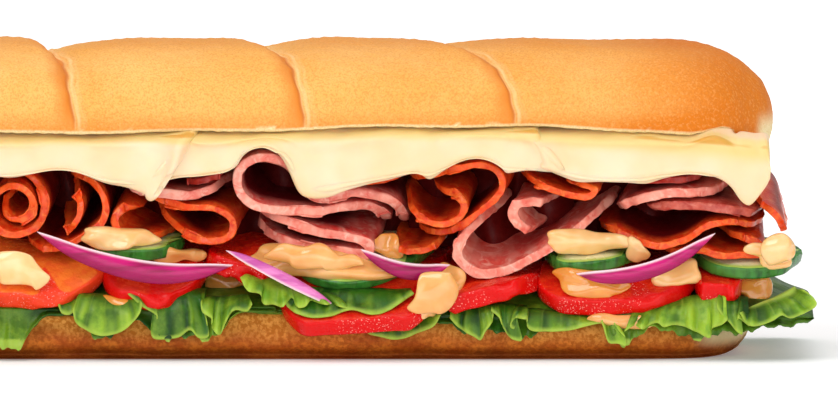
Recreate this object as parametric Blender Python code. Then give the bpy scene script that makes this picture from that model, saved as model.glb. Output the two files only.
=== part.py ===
"""A long filled roll: split bread, cheese, folded cured meats, tomato, cucumber, onion, lettuce and sauce.

Sizes below are millimetres. X runs along the roll, -Y is the front, Z is up from the surface it rests on.
"""
import math

import bmesh
import bpy
from mathutils import Vector

MM = 0.001

# The roll
ROLL_LENGTH = 300.0
ROLL_WIDTH = 76.0
TOTAL_HEIGHT = 83.0
HEEL_HEIGHT = 12.5
HEEL_LENGTH = 288.0
END_ROUNDING = 36.0
# Every layer is this much higher along the middle of the roll than at its long edges
MOUND = 8.0
# and, but for the bread, lies this much further along X there
INNER_SHIFT = 5.0
# Underside of the crown along its front edge: (x, z)
CROWN_EDGE = ((-150.0, 59.4), (-62.0, 59.4), (-10.0, 59.6), (50.0, 61.2), (77.0, 61.2),
              (110.0, 60.0), (150.0, 56.8))
CROWN_END_DROP = 44.0
CUT_GAP = 0.4

# Diagonal slashes in the crown: (place on the ridge, run towards the front edge, depth)
SLASHES = ((-98.0, 9.0, 2.2), (-43.7, 8.0, 2.8), (13.8, 11.0, 2.2), (61.5, 19.0, 1.8))
SLASH_LIP = 2.6
SLASH_FADE = 9.0

# Fillings
SALAMI_THICKNESS = 2.6
PEPPERONI_THICKNESS = 2.1
MEAT_REACH = 37.6
TOMATO_THICKNESS = 4.8
CUCUMBER_THICKNESS = 2.9
LEAF_THICKNESS = 0.9
ONION_THICKNESS = 2.2

COLOURS = {
    "crust": ((0.80, 0.42, 0.13), 0.55),
    "cheese": ((0.93, 0.80, 0.48), 0.35),
    "salami": ((0.72, 0.22, 0.18), 0.35),
    "pepperoni": ((0.62, 0.09, 0.03), 0.35),
    "tomato": ((0.70, 0.03, 0.02), 0.20),
    "cucumber": ((0.10, 0.26, 0.05), 0.30),
    "onion": ((0.50, 0.04, 0.22), 0.30),
    "lettuce": ((0.22, 0.42, 0.05), 0.40),
    "sauce": ((0.90, 0.55, 0.24), 0.25),
}

# Folded slices seen end on: how far the fold closes at mid depth (along X, along Z), the point that it
# closes on, and its line as (x, z)
PEPPERONI_FOLDS = {
    "pepperoni_outer": (0.10, 0.45, (-48.0, 40.0), (
        (-51.5, 27.4), (-43.5, 28.4), (-34.5, 31.4), (-28.6, 36.0), (-27.6, 41.0), (-30.0, 45.6),
        (-36.0, 48.0), (-40.5, 48.6))),
    "pepperoni_heart": (0.10, 0.45, (-48.0, 40.0), (
        (-41.0, 32.6), (-36.8, 34.4), (-34.2, 38.2), (-34.4, 42.4), (-38.0, 45.0))),
    "pepperoni_loop": (0.0, 0.10, (-8.0, 37.0), (
        (-22.0, 42.8), (-17.0, 41.8), (-8.5, 40.4), (0.5, 39.8), (5.2, 37.5), (6.2, 34.3), (3.2, 31.5),
        (-2.0, 31.2), (-8.0, 33.4), (-13.0, 36.4), (-16.0, 38.4))),
    "pepperoni_small": (0.0, 0.10, (-8.0, 37.0), (
        (-21.6, 36.0), (-19.9, 36.9), (-20.2, 39.2), (-22.4, 40.2), (-24.8, 38.8), (-25.2, 35.8),
        (-23.0, 33.2), (-18.6, 31.9), (-14.0, 31.3), (-9.8, 31.0))),
    "pepperoni_under": (0.0, 0.0, (0.0, 47.0), ((-8.0, 46.2), (-4.0, 47.0), (1.0, 47.8), (4.2, 48.0))),
    "pepperoni_back": (0.0, 0.0, (40.0, 47.0), ((29.5, 45.6), (37.5, 46.4), (45.0, 47.4), (52.8, 48.4))),
    "pepperoni_inner": (0.0, 0.12, (62.0, 41.0), (
        (49.8, 41.8), (52.6, 38.8), (56.0, 36.6), (60.0, 35.8), (65.0, 37.0), (67.2, 40.2), (65.8, 43.2),
        (61.5, 43.8), (57.0, 42.8))),
    "pepperoni_big": (0.0, 0.12, (62.0, 41.0), (
        (50.4, 45.0), (54.5, 46.4), (59.5, 48.4), (65.0, 50.4), (71.0, 51.4), (76.0, 49.6), (77.4, 46.2),
        (75.6, 42.6), (71.0, 38.6), (65.0, 34.2), (59.0, 32.0), (53.0, 31.0))),
    "pepperoni_vee": (0.0, 0.10, (92.0, 46.0), (
        (80.4, 44.8), (82.4, 47.0), (86.5, 45.8), (92.0, 44.2), (98.4, 43.6), (102.6, 44.6), (98.5, 46.6),
        (93.0, 48.4), (88.0, 49.6))),
    "pepperoni_flat": (0.0, 0.0, (120.0, 47.0), (
        (105.6, 46.8), (112.0, 47.2), (119.0, 47.6), (126.0, 47.6), (132.6, 46.9))),
    "pepperoni_low": (0.0, 0.0, (54.0, 27.0), ((46.8, 28.3), (51.0, 28.1), (55.0, 28.3), (59.0, 29.1),
        (62.0, 30.4))),
    "pepperoni_wave": (0.0, 0.0, (127.0, 33.0), (
        (100.8, 31.8), (105.0, 32.9), (109.5, 32.4), (114.0, 31.0), (119.0, 30.4), (126.0, 32.0),
        (131.0, 35.2), (135.5, 36.0), (141.0, 34.6), (147.0, 32.6))),
    "pepperoni_curl": (0.0, 0.10, (136.0, 29.4), (
        (134.0, 31.6), (140.5, 31.2), (145.2, 30.2), (146.6, 28.6), (142.5, 27.4), (138.0, 27.0),
        (133.5, 27.8), (129.5, 29.2), (124.0, 27.8), (117.0, 27.4))),
    "pepperoni_end": (0.0, 0.0, (146.0, 36.0), (
        (143.4, 41.0), (147.0, 40.2), (149.8, 38.0), (151.2, 35.0), (152.0, 31.6))),
}
SALAMI_FOLDS = {
    "salami_strip": (0.0, 0.0, (-10.0, 44.0), ((-25.5, 45.6), (-20.0, 44.8), (-12.0, 43.6),
        (-3.0, 43.6), (4.2, 44.8))),
    "salami_twin": (0.0, 0.10, (26.0, 43.0), (
        (49.0, 32.0), (48.8, 37.0), (45.0, 41.4), (37.5, 43.0), (30.5, 42.6), (26.2, 43.8), (23.4, 47.2),
        (20.5, 51.2), (15.0, 53.6), (9.8, 52.4), (7.4, 48.6), (8.0, 44.2), (12.5, 40.6), (19.0, 39.0),
        (27.0, 38.8), (36.5, 39.0), (42.0, 37.8), (44.6, 34.6), (44.4, 31.8))),
    "salami_low": (0.0, 0.10, (26.0, 33.0), (
        (8.0, 39.2), (17.0, 36.2), (26.5, 34.2), (35.0, 32.4), (41.4, 30.6), (42.6, 28.2), (37.6, 28.0),
        (29.0, 29.0), (20.0, 29.8), (10.2, 32.0))),
    "salami_cone": (0.0, 0.32, (82.0, 35.0), (
        (76.4, 39.8), (71.2, 35.6), (66.8, 32.2), (64.9, 28.4), (66.4, 25.2), (70.0, 22.9), (75.5, 22.7),
        (82.0, 24.8), (89.5, 28.8), (98.0, 34.8), (105.0, 40.0))),
    "salami_curl": (0.0, 0.32, (82.0, 35.0), (
        (91.0, 39.6), (85.5, 41.2), (80.6, 40.8), (80.4, 37.4), (83.0, 33.5), (86.8, 30.9))),
    "salami_arch": (0.0, 0.0, (120.0, 40.0), (
        (106.6, 36.4), (109.2, 39.2), (112.8, 41.7), (117.0, 43.6), (123.0, 44.4), (128.5, 44.2),
        (133.6, 43.6), (137.6, 42.9))),
    "salami_dark": (0.0, 0.15, (128.0, 38.5), (
        (147.0, 36.0), (141.5, 38.0), (135.5, 39.8), (130.0, 40.8), (124.0, 41.0), (118.8, 40.2),
        (115.8, 38.2), (116.0, 35.6))),
}
# Rolled slices: closing at mid depth (along X, along Z), then centre x, centre z, inner radius, outer radius,
# turns, first angle
ROLLS = {
    "pepperoni_roll": (0.10, 0.45, (-51.6, 40.0, 2.4, 9.2, 2.3, 30.0)),
}
# The two ends of the roll are filled alike: these folds are repeated, mirrored, towards -X
REPEATED_AT_LEFT = ("salami_cone", "salami_arch", "pepperoni_wave")
REPEAT_SHIFT = -4.0

# Half slices that lie across the heel and droop over its edge: centre x, half length, height where the bend
# starts, slope of the hanging rim along X, bend radius, overhang, squareness of the rim, start of the bend
TOMATOES = {
    "tomato_1": (-49.2, 19.6, 24.0, 0.00, 16.0, 19.0, 2.2, -25.0),
    "tomato_2": (-15.4, 13.2, 22.4, -0.02, 24.0, 18.5, 2.0, -25.0),
    "tomato_3": (7.8, 9.2, 24.6, -0.36, 90.0, 14.0, 4.0, -25.0),
    "tomato_4": (39.2, 20.4, 20.4, 0.07, 12.0, 22.8, 5.0, -27.0),
    "tomato_5": (73.2, 12.8, 18.8, 0.27, 100.0, 18.5, 4.0, -25.0),
    "tomato_6": (106.8, 20.2, 19.6, 0.06, 30.0, 18.5, 2.2, -25.0),
    "tomato_7": (134.4, 6.2, 19.6, -0.02, 90.0, 16.5, 4.0, -25.0),
    "tomato_8": (-100.0, 28.0, 17.8, 0.00, 40.0, 18.0, 2.4, -25.0),
    "tomato_back_1": (-96.0, 35.0, 18.0, 0.00, 60.0, 18.0, 2.4, 25.0),
    "tomato_back_2": (-6.0, 34.0, 19.4, 0.00, 60.0, 18.0, 2.4, 25.0),
    "tomato_back_3": (66.0, 36.0, 18.0, 0.00, 60.0, 18.0, 2.4, 25.0),
}
# A slice hangs no steeper than this
STEEPEST = 0.61
# Cucumber slices: centre x, centre y, radius, height, slope of the hanging rim along X, bend radius
CUCUMBERS = {
    "cucumber_1": (37.4, -22.0, 18.8, 25.2, 0.03, 18.0),
    "cucumber_2": (100.2, -27.5, 12.0, 25.4, 0.08, 60.0),
    "cucumber_3": (142.2, -25.0, 14.2, 24.0, -0.02, 60.0),
    "cucumber_4": (-19.8, -28.4, 11.2, 28.2, 0.00, 90.0),
    "cucumber_back": (124.0, 20.0, 18.0, 18.4, 0.00, 90.0),
}
# Onion petals: tips as (x, z), sag of the middle, greatest height, place of the tips in Y, outward bulge
ONIONS = {
    "onion_1": ((-44.5, 33.8), (5.6, 25.2), -5.0, 5.4, -43.0, 1.6),
    "onion_2": ((5.0, 29.2), (33.2, 14.8), 0.4, 3.2, -43.8, 1.6),
    "onion_3": ((40.4, 29.4), (63.2, 25.2), -3.0, 4.2, -40.8, 1.6),
    "onion_4": ((133.0, 33.4), (97.4, 23.0), -4.0, 4.4, -43.6, 1.6),
    "onion_back": ((-40.0, 31.0), (12.0, 31.0), -4.5, 5.0, 42.0, 2.0),
}
# Sauce blobs: centre, half sizes, slope along X
SAUCES = {
    "sauce_1": ((-50.5, -43.2, 24.2), (9.0, 1.8, 4.0), -0.10),
    "sauce_2": ((27.0, -41.2, 27.4), (13.0, 1.8, 2.8), -0.12),
    "sauce_3": ((59.4, -46.8, 18.2), (6.6, 1.8, 5.4), 0.30),
    "sauce_4": ((150.2, -41.6, 29.6), (4.6, 2.2, 3.4), 0.00),
}
# Lower edge of the lettuce along the front, as (x, z)
LETTUCE_HEM = (
    (-162.0, 15.0), (-152.0, 8.0), (-143.0, 10.4), (-132.0, 6.4), (-120.0, 9.4), (-109.0, 4.6),
    (-99.0, 9.6), (-82.0, 5.6), (-72.0, 9.8), (-64.0, 10.4), (-51.0, 4.3), (-43.5, 11.6), (-35.8, 12.4),
    (-29.2, 6.9), (-17.2, 11.4), (-11.9, 6.1), (-5.3, 7.7), (2.1, 6.9), (6.6, 12.2), (13.8, 13.0),
    (24.0, 12.3), (38.0, 12.3), (46.0, 8.2), (58.3, 10.0), (64.6, 10.0), (71.0, 6.1), (75.2, 9.6),
    (82.2, 5.6), (87.3, 9.4), (95.4, 8.8), (103.4, 10.4), (109.2, 4.3), (114.0, 9.6), (127.2, 7.5),
    (132.0, 6.4), (137.0, 9.6), (140.5, 7.5), (147.1, 10.4), (156.4, 12.2), (162.0, 15.4))
# Lettuce leaves: from x, to x, height above the heel
LEAVES = {
    "lettuce_1": (-158.0, -56.0, 0.75),
    "lettuce_2": (-60.0, 17.0, 2.1),
    "lettuce_3": (13.0, 109.0, 0.75),
    "lettuce_4": (106.0, 159.0, 2.0),
}
LEAF_COLUMN = 5.0
# Where the rows of points of a leaf lie across the roll; the last ones are along its hem
LEAF_ROWS = (-1.0, -0.8, -0.6, 0.0, 0.6, 0.8, 1.0)
# Puts the middle of the whole on the origin
CENTRE_SHIFT = (-0.63, 1.75, 0.0)

# Melted cheese: the edge that hangs in front of the meats, and the underside that rests on them, as (x, z)
CHEESE_LIP = (
    (-139.0, 50.4), (-133.0, 49.0), (-127.0, 50.6), (-119.0, 48.4), (-111.0, 47.6), (-104.0, 50.2),
    (-96.0, 48.0), (-89.0, 44.8), (-83.0, 47.6), (-76.0, 50.4), (-69.0, 49.2), (-63.0, 50.0), (-57.0, 49.4),
    (-50.9, 48.6), (-43.7, 50.0), (-37.6, 50.6), (-31.8, 48.9), (-26.0, 46.5), (-18.6, 44.9), (-11.9, 43.9),
    (-8.0, 43.6), (-5.6, 47.2), (-1.3, 48.8), (5.8, 50.2), (8.4, 53.4), (11.5, 55.8), (14.6, 56.4),
    (17.6, 55.4), (20.6, 51.8), (23.0, 46.8), (25.4, 44.0), (30.5, 43.4), (35.8, 45.0), (42.4, 46.8),
    (50.4, 48.6), (55.1, 49.8), (57.8, 48.0), (61.0, 50.0), (64.9, 52.2), (71.0, 53.6), (76.9, 51.2),
    (78.7, 49.6), (83.6, 50.6), (90.0, 50.8), (94.2, 48.2), (98.0, 47.4), (103.4, 47.4), (110.0, 47.4),
    (115.0, 47.2), (119.0, 48.2), (123.0, 49.0), (129.0, 49.4), (133.8, 48.6), (137.8, 46.6), (140.0, 43.8),
    (142.6, 42.0), (145.0, 44.2), (147.0, 46.0), (148.0, 48.8))
CHEESE_UNDERSIDE = (
    (-139.0, 50.0), (-60.0, 50.6), (-30.0, 50.6), (-24.0, 48.6), (-8.0, 49.2), (5.0, 50.0), (8.0, 55.8),
    (14.0, 56.6), (21.0, 56.0), (27.0, 48.6), (38.0, 48.6), (53.0, 50.4), (59.0, 51.2), (65.0, 52.6),
    (71.0, 53.8), (77.0, 52.6), (84.0, 51.6), (92.0, 51.6), (103.0, 49.4), (126.0, 50.2), (137.0, 49.2),
    (148.0, 50.0))
# Cheese slices: from x, to x, and how far each end leans along X over the height
CHEESES = {
    "cheese_1": (-139.0, -8.0, 0.0, 6.4),
    "cheese_2": (-8.0, 90.0, 6.4, -6.4),
    "cheese_3": (90.0, 148.0, -6.4, 0.0),
}
# How far the seams run along X from the front of the roll to its back, and how long they take to fade
SEAM_SKEW = 5.0
SEAM_FADE = 14.0
SEAM_GAP = 0.5


def clear_scene():
    for old in list(bpy.data.objects):
        bpy.data.objects.remove(old, do_unlink=True)


def material(slot):
    found = bpy.data.materials.get(slot)
    if found:
        return found
    colour, roughness = COLOURS[slot]
    made = bpy.data.materials.new(slot)
    made.use_nodes = True
    shader = made.node_tree.nodes["Principled BSDF"]
    shader.inputs["Base Color"].default_value = (*colour, 1.0)
    shader.inputs["Roughness"].default_value = roughness
    shader.inputs["Metallic"].default_value = 0.0
    return made


def finish(name, bm, slot):
    """Makes the bmesh, built in millimetres, an object in metres."""
    bmesh.ops.translate(bm, vec=CENTRE_SHIFT, verts=bm.verts)
    bmesh.ops.recalc_face_normals(bm, faces=bm.faces)
    if bm.calc_volume(signed=True) < 0:
        bmesh.ops.reverse_faces(bm, faces=bm.faces)
    bmesh.ops.scale(bm, vec=(MM, MM, MM), verts=bm.verts)
    mesh = bpy.data.meshes.new(name)
    bm.to_mesh(mesh)
    bm.free()
    mesh.shade_smooth()
    mesh.set_sharp_from_angle(angle=math.radians(50))
    mesh.materials.append(material(slot))
    made = bpy.data.objects.new(name, mesh)
    bpy.context.scene.collection.objects.link(made)
    return made


def thicken(made, thickness):
    """Gives an open sheet its thickness, half to each side."""
    solidify = made.modifiers.new("thickness", "SOLIDIFY")
    solidify.thickness = thickness * MM
    solidify.offset = 0.0
    solidify.use_even_offset = True
    solidify.use_rim = True
    return made


def sheet(name, columns, rows, place, thickness, slot):
    """A sheet of columns by rows faces, whose point at (u, v), each from 0 to 1, lies at place(u, v)."""
    bm = bmesh.new()
    bmesh.ops.create_grid(bm, x_segments=columns, y_segments=rows, size=0.5)
    for vert in bm.verts:
        vert.co = Vector(place(vert.co.x + 0.5, vert.co.y + 0.5))
    return thicken(finish(name, bm, slot), thickness)


def loft(name, rings, slot):
    """A closed body through rings of equal counts of points, with flat ends."""
    bm = bmesh.new()
    loops = [[bm.verts.new(point) for point in ring] for ring in rings]
    count = len(rings[0])
    for low, high in zip(loops, loops[1:]):
        for k in range(count):
            n = (k + 1) % count
            bm.faces.new((low[k], low[n], high[n], high[k]))
    bm.faces.new(loops[0])
    bm.faces.new(loops[-1])
    return finish(name, bm, slot)


def smooth_step(low, high, value):
    t = min(1.0, max(0.0, (value - low) / (high - low)))
    return t * t * (3 - 2 * t)


def curve_point(points, at):
    """The point at a place from 0 to 1 on a smooth curve through the given (x, z) points."""
    spans = len(points) - 1
    span = min(int(at * spans), spans - 1)
    t = at * spans - span
    p1, p2 = Vector(points[span]), Vector(points[span + 1])
    p0 = Vector(points[span - 1]) if span > 0 else 2 * p1 - p2
    p3 = Vector(points[span + 2]) if span + 2 <= spans else 2 * p2 - p1
    square, cube = 2 * p0 - 5 * p1 + 4 * p2 - p3, 3 * p1 - p0 - 3 * p2 + p3
    return 0.5 * (2 * p1 + (p2 - p0) * t + square * t**2 + cube * t**3)


def even_path(points, count):
    """Evenly spaced points on the smooth curve through the given ones."""
    fine = [curve_point(points, i / 400) for i in range(401)]
    lengths = [0.0]
    for a, b in zip(fine, fine[1:]):
        lengths.append(lengths[-1] + (b - a).length)
    path, k = [], 0
    for i in range(count):
        wanted = lengths[-1] * i / (count - 1)
        while k < 399 and lengths[k + 1] < wanted:
            k += 1
        share = (wanted - lengths[k]) / max(lengths[k + 1] - lengths[k], 1e-9)
        path.append(fine[k].lerp(fine[k + 1], share))
    return path


def path_length(points):
    path = [curve_point(points, i / 100) for i in range(101)]
    return sum((b - a).length for a, b in zip(path, path[1:]))


def spiral(centre_x, centre_z, inner, outer, turns, first):
    """Points of a rolled slice seen end on."""
    steps = math.ceil(turns * 8)
    points = []
    for i in range(steps + 1):
        angle = math.radians(first) + 2 * math.pi * turns * i / steps
        radius = inner + (outer - inner) * i / steps
        points.append((centre_x + radius * math.cos(angle), centre_z + radius * math.sin(angle)))
    return points


def mound(y):
    """How much higher than at the long edges everything lies at y."""
    return MOUND * max(0.0, 1 - abs(y) / (ROLL_WIDTH / 2))


def inner_shift(x, y):
    """How much further along X the fillings lie at y than at the long edges."""
    return INNER_SHIFT * max(0.0, 1 - abs(y) / (ROLL_WIDTH / 2)) * (1 - smooth_step(95, 150, x))


def along_table(table, x):
    """The value at x of a table of (x, value), smooth between its entries."""
    if x <= table[0][0]:
        return table[0][1]
    for (x0, v0), (x1, v1) in zip(table, table[1:]):
        if x <= x1:
            return v0 + (v1 - v0) * smooth_step(x0, x1, x)
    return table[-1][1]


def slab(name, rows, slot):
    """A closed sheet. Each row is a list of pairs of points, one on either face, in the same order."""
    bm = bmesh.new()
    grid = [[(bm.verts.new(a), bm.verts.new(b)) for a, b in row] for row in rows]
    for near, far in zip(grid, grid[1:]):
        for (a0, b0), (a1, b1), (a2, b2), (a3, b3) in zip(near, near[1:], far, far[1:]):
            bm.faces.new((a0, a1, a3, a2))
            bm.faces.new((b0, b2, b3, b1))
    for row in (grid[0], grid[-1]):
        for (a0, b0), (a1, b1) in zip(row, row[1:]):
            bm.faces.new((a0, b0, b1, a1))
    for side in (0, -1):
        for near, far in zip(grid, grid[1:]):
            (a0, b0), (a1, b1) = near[side], far[side]
            bm.faces.new((a0, a1, b1, b0))
    return finish(name, bm, slot)


def across_path(path):
    """The normals of a line of (x, z) points, longer at its corners so that an offset keeps its distance."""
    normals = []
    for k, point in enumerate(path):
        before = (point - path[k - 1]).normalized() if k else None
        after = (path[k + 1] - point).normalized() if k + 1 < len(path) else None
        before, after = before or after, after or before
        along = (before + after).normalized()
        reach = 1 / max(0.8, along.dot(after))
        normals.append(Vector((-along.y, along.x)) * reach)
    return normals


def folded_slice(name, closing, centre, points, thickness, slot, segment=3.6):
    """A round slice folded along lines that run from the front to the back, drawn together half way."""
    columns = max(6, round(path_length(points) / segment))
    path = even_path(points, columns + 1)
    normals = across_path(path)
    reach = MEAT_REACH + 0.5 * math.sin(0.9 * centre[0])
    rows = []
    for depth in (-1.0, 0.0, 1.0):
        row = []
        for k, (on_path, normal) in enumerate(zip(path, normals)):
            around = abs(2 * k / columns - 1) * 0.95
            y = depth * reach * (1 - around**3.2) ** (1 / 3.2)
            inward = max(0.0, 1 - abs(y) / MEAT_REACH)
            pair = []
            for side in (0.5, -0.5):
                x, z = on_path + normal * thickness * side
                x = centre[0] + (x - centre[0]) * (1 - closing[0] * inward)
                z = centre[1] + (z - centre[1]) * (1 - closing[1] * inward)
                pair.append((x + inner_shift(x, y), y, z + mound(y)))
            row.append(pair)
        rows.append(row)
    return slab(name, rows, slot)


def drooping(y, side, bend_start, bend_radius):
    """Where a flat sheet's point at y lies once the sheet bends down past bend_start: (y, drop)."""
    past = side * y - bend_start
    if past <= 0:
        return y, 0.0
    turned = min(past / bend_radius, STEEPEST)
    straight = past - turned * bend_radius
    out = bend_start + bend_radius * math.sin(turned) + straight * math.cos(turned)
    return side * out, bend_radius * (1 - math.cos(turned)) + straight * math.sin(turned)


def tomato_slice(name, centre_x, half_length, height, slope, bend_radius, overhang, square, bend_start):
    side = math.copysign(1, bend_start)
    bend_start = abs(bend_start)
    cut = 5.0
    shoulder = 0.45 * overhang

    def place(u, v):
        along = 2 * u - 1
        rim = bend_start + shoulder + (overhang - shoulder) * (1 - 0.985 * abs(along) ** square) ** 0.5
        y, drop = drooping(side * (cut + (rim - cut) * v), side, bend_start, bend_radius)
        x = half_length * along
        roll = slope * x * smooth_step(28, 42, abs(y))
        x += centre_x
        return x + inner_shift(x, y), y, height + roll - drop + mound(y)

    return sheet(name, 8, 4, place, TOMATO_THICKNESS, "tomato")


def cucumber_slice(name, centre_x, centre_y, radius, height, slope, bend_radius):
    side = math.copysign(1, centre_y)
    bend_start = abs(centre_y) + 4.0

    def place(u, v):
        along = 2 * u - 1
        chord = radius * math.sqrt(1 - 0.97 * along**2)
        y, drop = drooping(centre_y + chord * (2 * v - 1), side, bend_start, bend_radius)
        x = radius * along
        roll = slope * x * smooth_step(28, 42, abs(y))
        x += centre_x
        return x + inner_shift(x, y), y, height + roll - drop + mound(y)

    return sheet(name, 8, 4, place, CUCUMBER_THICKNESS, "cucumber")


def onion_petal(name, first, last, sag, height, tip_y, bulge):
    """A crescent of onion, pointed at both ends and bowed towards the viewer."""
    rings = []
    outward = math.copysign(1, tip_y)
    for i in range(11):
        u = i / 10
        belly = 4 * u * (1 - u)
        x = first[0] + (last[0] - first[0]) * u
        z = first[1] + (last[1] - first[1]) * u + sag * belly
        y = tip_y + outward * bulge * belly
        tall = height * (0.10 + 0.90 * belly**0.7) / 2
        deep = ONION_THICKNESS * (0.35 + 0.65 * belly**0.5) / 2
        corners = ((-0.7, 1.0), (0.5, 1.0), (1.0, 0.1), (0.6, -1.0), (-0.6, -1.0), (-0.3, 0.0))
        rings.append([(x, y + outward * deep * a, z + tall * b) for a, b in corners])
    return loft(name, rings, "onion")


def sauce_blob(name, centre, half, slope):
    bm = bmesh.new()
    bmesh.ops.create_uvsphere(bm, u_segments=10, v_segments=6, radius=1.0)
    for vert in bm.verts:
        x, y, z = vert.co
        lump = 1 + 0.10 * math.sin(3.1 * x + 1.7 * z) - 0.08 * math.cos(2.3 * z - x)
        vert.co = Vector((
            centre[0] + half[0] * x * lump,
            centre[1] + half[1] * y,
            centre[2] + half[2] * z * lump + slope * half[0] * x,
        ))
    return finish(name, bm, "sauce")


def lettuce_leaf(name, from_x, to_x, above):
    """A thin wavy leaf across the heel, hanging over both of its long edges."""
    columns = round((to_x - from_x) / LEAF_COLUMN)
    shoulder = 33.4 + 0.5 * above
    flat = HEEL_HEIGHT + above
    rows = []
    for share in LEAF_ROWS:
        row = []
        side = math.copysign(1, share)
        for k in range(columns + 1):
            x = from_x + (to_x - from_x) * k / columns
            inside = smooth_step(0, 9, min(x - from_x, to_x - x))
            wave = math.sin(2.1 * k + 0.9 * side) * math.cos(0.6 * k)
            low = along_table(LETTUCE_HEM, x if side < 0 else -x)
            hang = smooth_step(0.0, 4.0, flat - low)
            past_end = smooth_step(141, 160, abs(x))
            if abs(share) <= 0.6:
                y = side * shoulder * abs(share) / 0.6
                z = flat + mound(y) * (1 - 0.5 * past_end) + 0.2 * wave
            elif abs(share) < 1:
                y = side * (shoulder + 1.2 + (3.4 + 0.4 * above) * hang)
                z = flat - 0.5 - 1.9 * hang
            else:
                y = side * (shoulder + 2.0 + (3.6 + 0.7 * above + (0.5 + 0.8 * wave) * inside) * hang)
                z = min(low, flat - 0.9)
            row.append((x + inner_shift(x, y), y, z - 3.0 * past_end))
        rows.append(row)
    return rows_sheet(name, rows, LEAF_THICKNESS, "lettuce")


def rows_sheet(name, rows, thickness, slot):
    bm = bmesh.new()
    grid = [[bm.verts.new(point) for point in row] for row in rows]
    for near, far in zip(grid, grid[1:]):
        for a, b, c, d in zip(near, near[1:], far, far[1:]):
            bm.faces.new((a, b, d, c))
    return thicken(finish(name, bm, slot), thickness)


def cheese_slice(name, from_x, to_x, lean_from, lean_to):
    """Melted cheese between the crown and the meats, hanging over their front."""
    places = [x for x, _ in CHEESE_LIP if from_x + 2.0 < x < to_x - 2.0]
    rings = []
    for x in [from_x + SEAM_GAP / 2] + places + [to_x - SEAM_GAP / 2]:
        low = along_table(CHEESE_LIP, x)
        top = along_table(CROWN_EDGE, x) - CUT_GAP - 0.8 * smooth_step(134, 138, x)
        body = max(low + 0.8, along_table(CHEESE_UNDERSIDE, x))
        near_from = (1 - smooth_step(0, SEAM_FADE, x - from_x)) * (lean_from != 0)
        near_to = (1 - smooth_step(0, SEAM_FADE, to_x - x)) * (lean_to != 0)
        lean = lean_from * near_from + lean_to * near_to
        skew = SEAM_SKEW * (near_from + near_to)
        back = 1 - 1.72 * smooth_step(131, 137.6, x)
        middle = (top + body) / 2
        side = [(-37.2, top), (-40.4, 0.75 * top + 0.25 * low), (-41.2, 0.25 * top + 0.75 * low),
                (-40.5, low), (-39.3, low + 0.4), (-38.8, body)]
        if back > -0.5:
            side += [(0.0, body), (38.0 * back, body), (39.8 * back, body - 1.4 * max(0.0, back)),
                     (40.4 * back, middle), (37.2 * back, top), (0.0, top)]
        else:
            side += [(-37.0, body), (-31.0, body), (-30.4, body), (-29.8, middle), (-30.4, top), (-32.0, top)]
        ring = []
        for y, z in side:
            inner = inner_shift(x, y) * (1 - near_from) * (1 - near_to) if z == body else 0.0
            z += mound(y)
            ring.append((x + inner + skew * y / ROLL_WIDTH + lean * (z - 54.0) / 10.0, y, z))
        rings.append(ring)
    return loft(name, rings, "cheese")


def end_scale(x, half_length, rounding):
    """How far the roll's section has shrunk at x, from 1 along its length to 0 at its ends."""
    past = (abs(x) - (half_length - rounding)) / rounding
    if past <= 0:
        return 1.0
    return max(0.0, 1 - past**2.5) ** 0.45


def crown_lines():
    """The (place on the ridge, run towards the front edge) of each line of points across the crown."""
    half = ROLL_LENGTH / 2
    lines = [(-half + END_ROUNDING * s, 0.0) for s in (0.002, 0.03, 0.09, 0.19, 0.34, 0.56)]
    offsets = (-7.0, -2.6, -0.6, 1.2, 4.4, 9.5)
    for k, (place, run, _) in enumerate(SLASHES):
        lines += [(place + offset, run) for offset in offsets]
        if k + 1 < len(SLASHES):
            following, next_run, _ = SLASHES[k + 1]
            start, stop = place + offsets[-1], following + offsets[0]
            lines += [(start + (stop - start) * t, run + (next_run - run) * t) for t in (0.25, 0.5, 0.75)]
    last = SLASHES[-1][0] + offsets[-1]
    stop = half - END_ROUNDING
    lines += [(last + (stop - last) * t, SLASHES[-1][1] * (1 - t)) for t in (0.25, 0.5, 0.75, 1.0)]
    lines += [(half - END_ROUNDING * s, 0.0) for s in (0.78, 0.56, 0.34, 0.19, 0.09, 0.03, 0.002)]
    return lines


def slash_dip(offset, depth):
    """How far the crust sinks at a distance past a slash: a steep lip before it, a slow rise after it."""
    if offset < 0:
        return depth * math.exp(-((offset / SLASH_LIP) ** 2)) - 0.5 * math.exp(-(((offset + 5.0) / 3.0) ** 2))
    return depth * math.exp(-((offset / SLASH_FADE) ** 2))


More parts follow.
